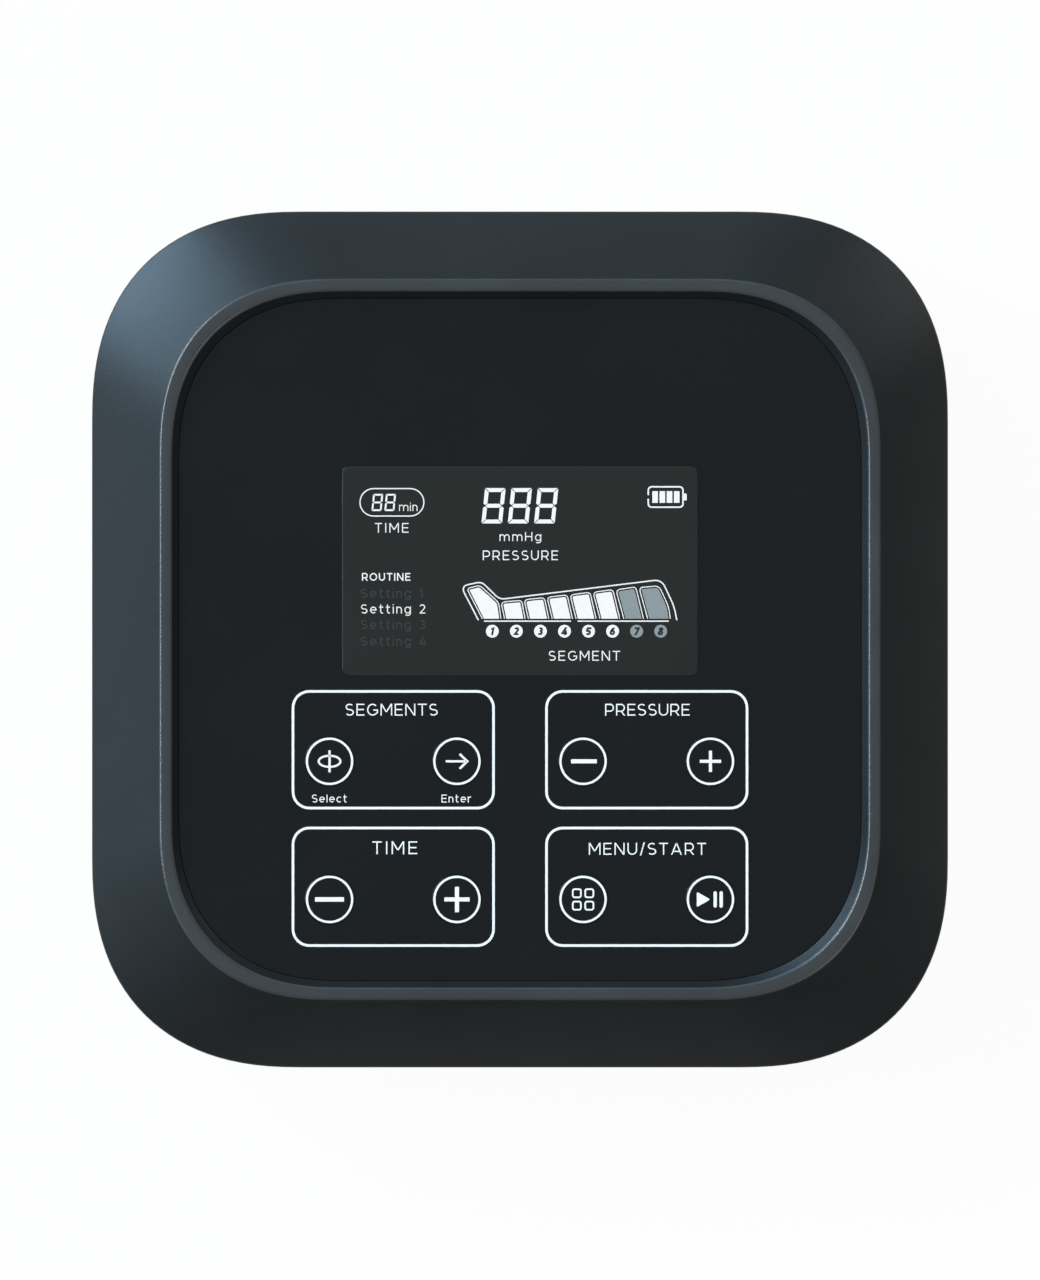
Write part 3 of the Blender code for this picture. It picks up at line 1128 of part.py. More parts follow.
def make_pump_head(plastic, rubber):
    """Crankcase open at the top, diaphragm over it and the valve cover with both nipples."""
    bore = SHAFT_RADIUS + GAP
    outline = rounded_rectangle(CRANKCASE_WIDTH, CRANKCASE_LENGTH, CRANKCASE_RADIUS)
    place = (PUMP_X, CRANKCASE_MIDDLE_Y, 0)
    head = prism("pump_crankcase", outline, CRANKCASE_BOTTOM, CRANKCASE_TOP, place, skin=plastic)
    cavity_width = CRANKCASE_WIDTH - 2 * CRANKCASE_SIDE_WALL
    cavity_length = CRANKCASE_LENGTH - CRANKCASE_BACK_WALL - CRANKCASE_FRONT_WALL
    cavity_y = CRANKCASE_REAR_Y + CRANKCASE_BACK_WALL + cavity_length / 2
    cut(head, [
        block(
            "cavity", cavity_width, cavity_length, CRANKCASE_TOP + OVERRUN - CAVITY_BOTTOM,
            (PUMP_X, cavity_y, CAVITY_BOTTOM),
        ),
        turned(
            "shaft_bore",
            [(bore, CRANKCASE_REAR_Y - OVERRUN), (bore, CRANKCASE_FRONT_Y + OVERRUN)],
            (PUMP_X, 0, PUMP_Z), "Y", sides=SMALL_SIDES,
        ),
    ])
    diaphragm = prism(
        "pump_diaphragm", outline, DIAPHRAGM_BOTTOM, DIAPHRAGM_BOTTOM + DIAPHRAGM_THICKNESS, place, skin=rubber
    )
    fuse(diaphragm, [turned("pad", [
        (DIAPHRAGM_PAD_RADIUS, DIAPHRAGM_BOTTOM - DIAPHRAGM_PAD_DEPTH),
        (DIAPHRAGM_PAD_RADIUS, DIAPHRAGM_BOTTOM + DIAPHRAGM_THICKNESS / 2),
    ], (PUMP_X, cavity_y, 0))])
    cover = prism(
        "pump_cover", outline, PUMP_COVER_BOTTOM, PUMP_COVER_BOTTOM + PUMP_COVER_HEIGHT, place, skin=plastic
    )
    ends = (CRANKCASE_FRONT_Y - OVERRUN / 2, PUMP_NIPPLE_TIP_Y)
    fuse(cover, [
        turned(
            "nipple", [(PUMP_NIPPLE_RADIUS, y) for y in ends],
            (PUMP_X + side * PUMP_NIPPLE_X, 0, PUMP_NIPPLE_Z), "Y", sides=SMALL_SIDES,
        )
        for side in (-1, 1)
    ])
    sleeve = PUMP_NIPPLE_RADIUS + GAP
    filter_start = PUMP_NIPPLE_TIP_Y - FILTER_SINK
    turned("air_filter", [
        (sleeve, filter_start + FILTER_SINK + GAP),
        (sleeve, filter_start),
        (FILTER_RADIUS - FILTER_EDGE, filter_start),
        (FILTER_RADIUS, filter_start + FILTER_EDGE),
        (FILTER_RADIUS, filter_start + FILTER_LENGTH - FILTER_EDGE),
        (FILTER_RADIUS - FILTER_EDGE, filter_start + FILTER_LENGTH),
    ], (PUMP_X - PUMP_NIPPLE_X, 0, PUMP_NIPPLE_Z), "Y", plastic, SMALL_SIDES)


def make_saddles(rubber):
    """Rubber blocks that the motor and the crankcase rest on."""
    base = FLOOR_TOP + GAP
    cradle_top = PUMP_Z - MOTOR_RADIUS + MOTOR_SADDLE_GRIP
    cradle = block(
        "saddle_motor", SADDLE_WIDTH, MOTOR_SADDLE_LENGTH, cradle_top - base, (PUMP_X, MOTOR_MIDDLE_Y, base), rubber
    )
    half = MOTOR_SADDLE_LENGTH / 2 + OVERRUN
    cut(cradle, [turned(
        "hollow", [(MOTOR_RADIUS + GAP, -half), (MOTOR_RADIUS + GAP, half)], (PUMP_X, MOTOR_MIDDLE_Y, PUMP_Z), "Y"
    )])
    block(
        "saddle_crankcase", SADDLE_WIDTH, HEAD_SADDLE_LENGTH, SADDLE_HEIGHT, (PUMP_X, CRANKCASE_MIDDLE_Y, base), rubber
    )


def make_hoses(skin):
    """Supply hose from the pump to the manifold, and sense hose from the manifold to the sensor."""
    nipple_y = MANIFOLD_FRONT - MANIFOLD_NIPPLE_LENGTH - GAP
    lead = 2 * HOSE_RADIUS
    start = Vector((PUMP_X + PUMP_NIPPLE_X, PUMP_NIPPLE_TIP_Y + GAP, PUMP_NIPPLE_Z))
    end = Vector((MANIFOLD_NIPPLE_X, nipple_y, SOCKET_Z))
    along = Vector((0, lead, 0))
    tube("supply_hose", [start, start + along, (start + end) / 2, end - along, end], HOSE_RADIUS, skin)
    start = Vector((SENSOR_X, SENSOR_Y + SENSOR_SIDE / 2 + SENSOR_NIPPLE_LENGTH + GAP, SENSOR_NIPPLE_Z))
    end = Vector((-MANIFOLD_NIPPLE_X, nipple_y, SOCKET_Z))
    tube("sense_hose", [start, start + along, (start + end) / 2, end - along, end], SENSE_HOSE_RADIUS, skin)


def main():
    """Builds every piece of the pump in its own material."""
    clear_scene()
    shell = finish("shell_plastic", (0.035, 0.045, 0.055), 0.42)
    panel = finish("panel_gloss", (0.013, 0.016, 0.019), 0.12)
    lens = finish("display_lens", (0.03, 0.035, 0.037), 0.06)
    glass = finish("lcd_glass", (0.02, 0.024, 0.026), 0.10)
    backlight = finish("backlight_white", (0.75, 0.77, 0.78), 0.5)
    black = finish("black_plastic", (0.012, 0.013, 0.014), 0.38)
    pale = finish("pale_plastic", (0.55, 0.56, 0.55), 0.45)
    rubber = finish("rubber", (0.02, 0.02, 0.021), 0.8)
    hose = finish("hose_silicone", (0.62, 0.64, 0.62), 0.35)
    steel = finish("steel", (0.52, 0.53, 0.54), 0.32, 1.0)
    board = finish("circuit_board", (0.01, 0.12, 0.05), 0.45)
    battery = finish("battery_wrap", (0.02, 0.09, 0.28), 0.4)

    make_top_cover(shell)
    make_bottom_cover(shell)
    make_case_hardware(rubber, steel)
    make_control_panel(panel)
    make_display(lens, glass, backlight)
    make_keys(panel)
    make_key_board(board)
    make_rear_panel(black)
    make_hose_socket("hose_socket_left", -SOCKET_X, black)
    make_hose_socket("hose_socket_right", SOCKET_X, black)
    make_manifold(pale)
    make_valves(black)
    make_power_socket(black, steel)
    make_rocker_switch(black, black)
    make_battery(battery, steel)
    make_main_board(board, steel)
    make_board_units(black, pale, hose)
    make_motor(steel, steel)
    make_pump_head(black, rubber)
    make_saddles(rubber)
    make_hoses(hose)
    shade()


main()
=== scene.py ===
import math

import bmesh
import bpy
from mathutils import Matrix, Vector


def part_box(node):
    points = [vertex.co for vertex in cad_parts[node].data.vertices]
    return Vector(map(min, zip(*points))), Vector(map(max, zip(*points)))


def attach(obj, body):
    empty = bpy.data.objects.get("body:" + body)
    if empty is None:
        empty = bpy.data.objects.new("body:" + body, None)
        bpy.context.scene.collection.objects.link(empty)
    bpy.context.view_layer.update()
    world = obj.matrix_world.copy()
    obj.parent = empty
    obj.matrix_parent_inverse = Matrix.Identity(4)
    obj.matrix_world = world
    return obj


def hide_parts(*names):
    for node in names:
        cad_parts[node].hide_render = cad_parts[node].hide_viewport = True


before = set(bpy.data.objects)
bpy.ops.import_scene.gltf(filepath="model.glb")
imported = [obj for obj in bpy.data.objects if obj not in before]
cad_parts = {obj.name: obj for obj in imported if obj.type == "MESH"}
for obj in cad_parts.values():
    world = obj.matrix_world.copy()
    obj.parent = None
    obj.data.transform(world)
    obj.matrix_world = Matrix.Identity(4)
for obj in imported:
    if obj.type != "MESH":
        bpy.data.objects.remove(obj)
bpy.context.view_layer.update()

# Sizes that repeat the part's own
MM = 0.001
GAP = 0.0003
OVERRUN = 0.002
CASE_WALL = 0.0025
CORNER_REACH = 0.049
CORNER_POWER = 2.4
INSET_REACH_SHARE = 0.5
SHOULDER_WIDTH = 0.0158
SHOULDER_DROP = 0.0125
RIM_WIDTH = 0.0028
RIM_SLOPE_WIDTH = 0.0018
PARTING = 0.028
PARTING_CHAMFER = 0.0006
TONGUE_WIDTH = 0.0011
TONGUE_HEIGHT = 0.002
BASE_RADIUS = 0.008
FOOT_STAND = 0.0025
FOOT_POCKET = 0.001
FOOT_RADIUS = 0.008
SCREW_SINK = 0.0055
SCREW_HEAD_RADIUS = 0.0035
SCREW_HEAD_HEIGHT = 0.0026
SCREW_SHANK_RADIUS = 0.0016
PILOT_DEPTH = 0.012
BOSS_RADIUS = 0.005
BOSS_HEIGHT = 0.019
STANDOFF_RADIUS = 0.0035
STANDOFF_BORE_DEPTH = 0.009
STAKE_RADIUS = 0.0026
STAKE_PIN_RADIUS = 0.0013
STAKE_BOTTOM = 0.0735
STAKE_MARGIN = 0.004
KEY_BOARD_BOTTOM = 0.075
BOARD_THICKNESS = 0.0015
MANIFOLD_POST_WIDTH = 0.008
REAR_RIB_X = 0.036
REAR_RIB_WIDTH = 0.010
REAR_RIB_DEPTH = 0.003
REAR_RIB_HEIGHT = 0.012
BATTERY_RIB_WIDTH = 0.030
BATTERY_RIB_THICKNESS = 0.002
BATTERY_RIB_HEIGHT = 0.010
WINDOW_RADIUS = 0.0019
KEY_RADIUS = 0.0058
KEY_STEM_RADIUS = 0.0014
KEY_FLANGE_RADIUS = 0.007
KEY_FLANGE_HEIGHT = 0.001
SOCKET_WIDTH = 0.034
SOCKET_HEIGHT = 0.018
SOCKET_WALL = 0.002
SOCKET_LAP = 0.002
SOCKET_DEPTH = 0.015
SOCKET_RADIUS = 0.003
NIPPLE_PITCH_X = 0.008
NIPPLE_PITCH_Z = 0.009
NIPPLE_RADIUS = 0.0019
NIPPLE_REACH = 0.0105
HOSE_NIPPLE_X = 0.0623
HOSE_NIPPLE_LENGTH = 0.007
REAR_OPENING_WIDTH = 0.100
REAR_OPENING_RADIUS = 0.004
REAR_LAP = 0.003
POWER_BODY_RADIUS = 0.0055
POWER_FLANGE = 0.0015
ROCKER_WIDTH = 0.016
ROCKER_HEIGHT = 0.0094
ROCKER_DEPTH = 0.012
ROCKER_WALL = 0.0025
ROCKER_LAP = 0.0015
ROCKER_FLANGE = 0.0015
ROCKER_FLOOR = 0.002
ROCKER_PIVOT_SINK = 0.0037
ROCKER_SWING_DEGREES = 16
VENT_COUNT = 5
VENT_PITCH = 0.0055
VENT_LENGTH = 0.032
VENT_WIDTH = 0.002

# Joints between the visible pieces of the control face are drawn tighter than the solids' gaps
SEAM = 0.00012

# The flat of the rim ends a little inside the solid's edge. Its faces and those of its two edges are told
# apart by their height and by how far their normals point up. The flat gets a lighter colour as painted light
# from above, and the two edges a lighter colour as a painted highlight line.
RIM_EASE = 0.0004
RIM_EDGE_DEPTH = 0.0006
RIM_EDGE_LEAN = 0.80
RIM_FLAT_LEAN = 0.999
RECESS_SINK = 0.0001

# Rounding and detail that only the shells have
FINE_ROUND = 0.0003
SMALL_ROUND = 0.0004
SOFT_ROUND = 0.0005
FLANGE_ROUND = 0.0007
RIM_ROUND = 0.0010
SHOULDER_ROUND = 0.0009
CAP_ROUND = 0.00008
FOOT_GROOVE = 0.0004
CROSS_LENGTH = 0.0036
CROSS_WIDTH = 0.0008
CROSS_DEPTH = 0.0015
NIPPLE_BORE = 0.0009
NIPPLE_SIDES = 24
ROCKER_PIN_RADIUS = 0.0012
MARK_SHARE = 0.52

# How fine the shells are
CORNER_STEPS = 28
ARC_STEPS = 4
ROUND_SIDES = 64
SMALL_SIDES = 32
SHARP_DEGREES = 32
FILLET_SHARE = 0.48
MITRE_LEAST = 0.5

# Places read from the frame
CASE_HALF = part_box("top_cover")[1].x
CASE_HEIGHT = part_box("top_cover")[1].z
INNER_HALF = CASE_HALF - CASE_WALL
RIM_HALF = CASE_HALF - SHOULDER_WIDTH
RIM_INNER_HALF = RIM_HALF - RIM_WIDTH
RECESS_HALF = RIM_INNER_HALF - RIM_SLOPE_WIDTH
SHOULDER_Z = CASE_HEIGHT - SHOULDER_DROP
PANEL_LOW, PANEL_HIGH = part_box("control_panel")
PANEL_TOP = PANEL_HIGH.z
DECK_TOP = PANEL_LOW.z - GAP
DECK_BOTTOM = DECK_TOP - CASE_WALL
FLOOR_TOP = FOOT_STAND + CASE_WALL
SOCKET_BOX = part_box("hose_socket_right")
SOCKET_X = (SOCKET_BOX[0].x + SOCKET_BOX[1].x) / 2
SOCKET_Z = (SOCKET_BOX[0].z + SOCKET_BOX[1].z) / 2
SOCKET_FRONT = SOCKET_BOX[1].y
SOCKET_BACK = SOCKET_BOX[0].y
SOCKET_FLOOR_Y = SOCKET_FRONT - SOCKET_DEPTH
REAR_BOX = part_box("rear_panel")
OPENING_HEIGHT = REAR_BOX[1].z - REAR_BOX[0].z - 2 * REAR_LAP
OPENING_MIDDLE = (REAR_BOX[1].z + REAR_BOX[0].z) / 2
ROCKER_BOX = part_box("rocker_frame")
ROCKER_Z = (ROCKER_BOX[0].z + ROCKER_BOX[1].z) / 2
CORNERS = ("front_left", "front_right", "rear_left", "rear_right")
KEYS = ("position", "confirm", "pressure_down", "pressure_up", "time_down", "time_up", "mode", "start")


def middle(node):
    """The middle of a node's box."""
    low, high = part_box(node)
    return (low + high) / 2


def over(node, z=0.0):
    """A height on the upright line through a node's middle."""
    at = middle(node)
    at.z = z
    return at


# Finishes

class Tree:
    """A node tree. The inputs of its nodes are given as values or as other nodes' outputs."""

    def __init__(self, owner):
        owner.use_nodes = True
        self.tree = owner.node_tree

    def feed(self, socket, source):
        """Sets an input, or links it to an output."""
        if isinstance(source, bpy.types.NodeSocket):
            self.tree.links.new(source, socket)
        else:
            socket.default_value = source

    def node(self, kind, *ordered, operation=None, out=0, **named):
        """An output of a new node whose inputs are fed in order and by name."""
        made = self.tree.nodes.new("ShaderNode" + kind)
        if operation:
            made.operation = operation
        for place, source in enumerate(ordered):
            self.feed(made.inputs[place], source)
        for name, source in named.items():
            self.feed(made.inputs[name.replace("_", " ")], source)
        return made.outputs[out]

    def ramp(self, source, stops, stepped=False):
        """A colour from a source, through stops of (place, colour)."""
        colour = self.node("ValToRGB", source)
        scale = colour.node.color_ramp
        scale.interpolation = "CONSTANT" if stepped else "LINEAR"
        while len(scale.elements) < len(stops):
            scale.elements.new(0.5)
        for point, (place, shade) in zip(scale.elements, stops):
            point.position = place
            point.color = (*shade, 1)
        return colour


class Skin(Tree):
    """A Principled material whose colour, roughness and relief vary in the piece's own space."""

    def __init__(self, name, colour, roughness, **sockets):
        self.material = bpy.data.materials.new(name)
        super().__init__(self.material)
        self.inputs = self.tree.nodes["Principled BSDF"].inputs
        self.inputs["Base Color"].default_value = (*colour, 1)
        self.inputs["Roughness"].default_value = roughness
        for socket, value in sockets.items():
            self.inputs[socket.replace("_", " ").title().replace("Ior", "IOR")].default_value = value
        self.space = self.node("TexCoord", out="Object")

    def noise(self, scale, detail=2.0, stretch=(1, 1, 1), roughness=0.5):
        """Cloudy noise, drawn out along the axes whose factor is small."""
        place = self.node("Mapping", self.space, Scale=stretch)
        return self.node("TexNoise", place, Scale=scale, Detail=detail, Roughness=roughness)

    def bands(self, axis, node, stops):
        """Colours that change at shares of the way along an axis of a node's box."""
        low, high = (getattr(corner, axis.lower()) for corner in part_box(node))
        along = self.node("SeparateXYZ", self.space, out=axis)
        share = self.node("MapRange", along, From_Min=low, From_Max=high)
        return self.ramp(share, stops, stepped=True)

    def worn(self, colour, spread=0.1, scale=60):
        """A colour source made a little uneven."""
        cloud = self.ramp(self.noise(scale, 3), toned((1, 1, 1), spread))
        return self.node("VectorMath", colour, cloud, operation="MULTIPLY")

    def paint(self, colour):
        """Takes the base colour from a source."""
        self.feed(self.inputs["Base Color"], colour)
        return self

    def mottle(self, colour, spread, scale, detail):
        """Takes the base colour from a colour that clouds a little."""
        return self.paint(self.ramp(self.noise(scale, detail), toned(colour, spread)))

    def gloss(self, source, low, high):
        """Roughness from a source, between two values."""
        self.feed(self.inputs["Roughness"], self.node("MapRange", source, To_Min=low, To_Max=high))
        return self

    def relief(self, source, depth):
        """Bumps of a depth in metres from a source."""
        self.feed(self.inputs["Normal"], self.node("Bump", Distance=depth, Height=source))
        return self


def toned(colour, spread):
    """Ramp stops a little darker and lighter than a colour."""
    shares = ((0.3, 1 - spread), (0.7, 1 + spread))
    return [(place, tuple(part * share for part in colour)) for place, share in shares]


def moulded(name, colour, roughness, grain=2600, depth=0.00003, spread=0.12, **sockets):
    """Moulded plastic with a fine eroded grain and a slight unevenness of colour and gloss."""
    skin = Skin(name, colour, roughness, **sockets).mottle(colour, spread, 35, 3)
    skin.gloss(skin.noise(90, 4), roughness - 0.04, roughness + 0.04)
    return skin.relief(skin.noise(grain, 3, roughness=0.6), depth)


def printed(name, colour, glow=0.0):
    """Screen-printed ink, or a lit part of the display."""
    skin = Skin(name, colour, 0.5, specular_ior_level=0.2)
    if glow:
        skin.inputs["Emission Color"].default_value = (*colour, 1)
        skin.inputs["Emission Strength"].default_value = glow
    return skin.mottle(colour, 0.03, 800, 2)


def metal(name, colour, roughness, stretch):
    """Metal with fine lines along one way."""
    skin = Skin(name, colour, roughness, metallic=1.0)
    lines = skin.noise(1500, 3, stretch)
    skin.paint(skin.ramp(lines, toned(colour, 0.1)))
    return skin.gloss(skin.noise(120, 3), roughness - 0.08, roughness + 0.08).relief(lines, 0.00002)


SHELL = moulded("shell_satin", (0.0088, 0.0108, 0.0112), 0.37, specular_ior_level=0.34)
# Satin finish on the rim's flat top, made lighter than the shell as painted light from above
RIM = moulded("rim_satin_painted_light", (0.042, 0.0445, 0.0450), 0.32, specular_ior_level=0.42)
# Glossier finish on the rim's two edge fillets, whose lighter bluish colour is a painted highlight line
RIM_EDGE_HIGHLIGHT = moulded("rim_edge_gloss_painted_highlight", (0.036, 0.043, 0.046), 0.24, specular_ior_level=0.55)
# Matt finish on the recess's inward slope, made darker than the shell as painted shade
RECESS = moulded("recess_matt_painted_shade", (0.0080, 0.0096, 0.0102), 0.42, specular_ior_level=0.2)
PANEL = moulded("panel_gloss_black", (0.0088, 0.0100, 0.0105), 0.12, 60, 0.000001, 0.05)
LENS = moulded("display_smoked", (0.0208, 0.0220, 0.0190), 0.12, 60, 0.000001, 0.04)
LEGEND = printed("legend_ink", (0.93, 0.90, 0.86))
LIT = printed("segment_lit", (0.74, 0.70, 0.66), 0.24)
GREYED = printed("segment_grey", (0.27, 0.29, 0.28))
GHOST = printed("segment_ghost", (0.042, 0.045, 0.045))
DARK = printed("segment_dark", (0.020, 0.024, 0.025))
BLACK = moulded("plastic_black", (0.014, 0.015, 0.016), 0.42, 2200, 0.00004)
SATIN_BLACK = moulded("rocker_black", (0.010, 0.010, 0.011), 0.25, 2200, 0.00001)
PALE = moulded("plastic_pale", (0.52, 0.53, 0.51), 0.48, 1800, 0.00003, 0.05)
RUBBER = moulded("rubber_black", (0.020, 0.020, 0.021), 0.82, 900, 0.00006, 0.2, specular_ior_level=0.3)
STEEL = metal("steel_turned", (0.52, 0.53, 0.54), 0.32, (1, 1, 0.05))


# Outlines and profiles

def four_times(corner):
    """A quarter of an outline, turned about the middle four times."""
    points = []
    for turn in range(4):
        quarter = Matrix.Rotation(math.pi / 2 * turn, 2)
        points += [tuple(quarter @ Vector(point)) for point in corner]
    return points


def case_outline(half):
    """The case's rounded square, drawn in from its outer edge to a half width."""
    reach = CORNER_REACH - INSET_REACH_SHARE * (CASE_HALF - half)
    corner = []
    for step in range(CORNER_STEPS + 1):
        angle = math.pi / 2 * step / CORNER_STEPS
        corner.append(tuple(
            half - reach + reach * max(way, 0) ** (2 / CORNER_POWER)
            for way in (math.cos(angle), math.sin(angle))
        ))
    return four_times(corner)


def rounded_rectangle(width, height, radius, centre=(0, 0), steps=8):
    """A rectangle with round corners, counter-clockwise from the right side."""
    points = []
    for turn, (side, end) in enumerate(((1, 1), (-1, 1), (-1, -1), (1, -1))):
        for step in range(steps + 1):
            angle = math.pi / 2 * (turn + step / steps)
            points.append((
                centre[0] + side * (width / 2 - radius) + radius * math.cos(angle),
                centre[1] + end * (height / 2 - radius) + radius * math.sin(angle),
            ))
    return points


def bend(x, y, across, high, start, end, steps=12):
    """Points along part of an oval, between two angles in degrees."""
    angles = [math.radians(start + (end - start) * step / steps) for step in range(steps + 1)]
    return [(x + across * math.cos(angle), y + high * math.sin(angle)) for angle in angles]


def circle(radius, sides=ROUND_SIDES, centre=(0, 0), squeeze=1.0):
    """A round outline, or an oval one."""
    return bend(*centre, radius, radius * squeeze, 0, 360, sides)[:-1]


def filleted(corners, closed=True, steps=ARC_STEPS):
    """Corners of (u, v, radius) as a line that is rounded at each."""
    line = []
    last = len(corners) - 1
    for index, (u, v, radius) in enumerate(corners):
        here = Vector((u, v))
        if radius <= 0 or (not closed and index in (0, last)):
            line.append((u, v))
            continue
        before = Vector(corners[index - 1][:2]) - here
        after = Vector(corners[(index + 1) % len(corners)][:2]) - here
        room = FILLET_SHARE * min(before.length, after.length)
        reach = min(radius / math.tan(before.angle(after) / 2), room)
        start = here + before.normalized() * reach
        end = here + after.normalized() * reach
        for step in range(steps + 1):
            share = step / steps
            line.append(tuple(
                (1 - share) ** 2 * start + 2 * share * (1 - share) * here + share ** 2 * end
            ))
    return line


def beside(points, distance, closed):
    """A line at a distance to the left of another."""
    moved = []
    for index, point in enumerate(points):
        here = Vector(point)
        ways = []
        if closed or index > 0:
            ways.append((here - Vector(points[index - 1])).normalized())
        if closed or index < len(points) - 1:
            ways.append((Vector(points[(index + 1) % len(points)]) - here).normalized())
        along = sum(ways, Vector((0, 0))).normalized()
        left = Vector((-along.y, along.x))
        spread = max(left.dot(Vector((-ways[0].y, ways[0].x))), MITRE_LEAST)
        moved.append(tuple(here + left * distance / spread))
    return moved


# Bodies

AXES = {
    "Y": Matrix(((-1, 0, 0), (0, 0, 1), (0, 1, 0))),
    "Z": Matrix.Identity(3),
}


def settle(mesh, name, skin, place=(0, 0, 0)):
    """An object from a finished bmesh."""
    bmesh.ops.recalc_face_normals(mesh, faces=mesh.faces)
    data = bpy.data.meshes.new(name)
    mesh.to_mesh(data)
    mesh.free()
    item = bpy.data.objects.new(name, data)
    item.location = place
    bpy.context.scene.collection.objects.link(item)
    if skin:
        data.materials.append(skin.material)
    return item


def body(name, rings, place=(0, 0, 0), axis="Z", skin=None, bored=False):
    """A closed body through rings of (outline, height) along an axis, capped unless bored."""
    mesh = bmesh.new()
    turn = AXES[axis]
    rows = [[mesh.verts.new(turn @ Vector((x, y, height))) for x, y in outline] for outline, height in rings]
    pairs = list(zip(rows, rows[1:]))
    if bored:
        pairs.append((rows[-1], rows[0]))
    for lower, upper in pairs:
        for here, corner in enumerate(lower):
            after = (here + 1) % len(lower)
            mesh.faces.new((corner, lower[after], upper[after], upper[here]))
    if not bored:
        mesh.faces.new(rows[0])
        mesh.faces.new(rows[-1])
    return settle(mesh, name, skin, place)


def prism(name, outline, low, high, place=(0, 0, 0), axis="Z", skin=None):
    """An outline drawn out along an axis."""
    return body(name, [(outline, low), (outline, high)], place, axis, skin)


def turned(name, profile, place=(0, 0, 0), axis="Z", skin=None, sides=ROUND_SIDES, bored=False):
    """A round body through corners of (radius, height, fillet) along an axis."""
    line = filleted(profile, closed=bored)
    return body(name, [(circle(radius, sides), height) for radius, height in line], place, axis, skin, bored)


def rod(radius, low, high, place, axis="Z", sides=SMALL_SIDES):
    """A plain round tool or boss."""
    return turned("rod", [(radius, low, 0), (radius, high, 0)], place, axis, sides=sides)


def block(name, width, depth, height, place):
    """A box that stands with the middle of its lower face at a place."""
    outline = [(side * width / 2, end * depth / 2) for side, end in ((1, 1), (-1, 1), (-1, -1), (1, -1))]
    return prism(name, outline, 0, height, place)


def framed(name, width, height, line, radius, place, axis, skin, steps=8):
    """A body whose rounded rectangle grows along a line of (margin, height)."""
    rings = [
        (rounded_rectangle(width + 2 * margin, height + 2 * margin, radius(margin), steps=steps), level)
        for margin, level in line
    ]
    return body(name, rings, place, axis, skin)


def combine(target, operation, tools):
    """Cuts tools from a body or fuses them with it, and removes them."""
    for tool in tools:
        step = target.modifiers.new("Combine", "BOOLEAN")
        step.operation = operation
        step.solver = "EXACT"
        step.object = tool
        graph = bpy.context.evaluated_depsgraph_get()
        result = bpy.data.meshes.new_from_object(target.evaluated_get(graph))
        target.modifiers.remove(step)
        target.data = result
        bpy.data.objects.remove(tool)


def cut(target, tools):
    """Cuts tools from a body."""
    combine(target, "DIFFERENCE", tools)


def fuse(target, tools):
    """Makes one body of a body and its bosses."""
    combine(target, "UNION", tools)


def dress(item, rides, slot, *nodes):
    """Puts a finished piece on its body, in place of the nodes that it stands for."""
    item.data.shade_smooth()
    item.data.set_sharp_from_angle(angle=math.radians(SHARP_DEGREES))
    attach(item, rides)
    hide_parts(*nodes)


# Case

def rear_cutter():
    """The opening in both covers that the rear panel lies behind."""
    outline = rounded_rectangle(REAR_OPENING_WIDTH, OPENING_HEIGHT, REAR_OPENING_RADIUS)
    return prism(
        "rear_cutter", outline, INNER_HALF - OVERRUN, CASE_HALF + OVERRUN, (0, 0, OPENING_MIDDLE), "Y"
    )


def stake_places():
    """Where the plastic pins under the deck hold the key board."""
    inner, outer = middle("key_mode"), middle("key_pressure_up")
    glass_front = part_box("lcd_glass")[0].y
    rows = (
        inner.y,
        (glass_front + outer.y + KEY_FLANGE_RADIUS) / 2,
        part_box("key_board")[1].y - STAKE_MARGIN,
    )
    places = [(side * (inner.x + outer.x) / 2, y, 0) for side in (-1, 1) for y in rows]
    return places + [(0, (inner.y + outer.y) / 2, 0)]


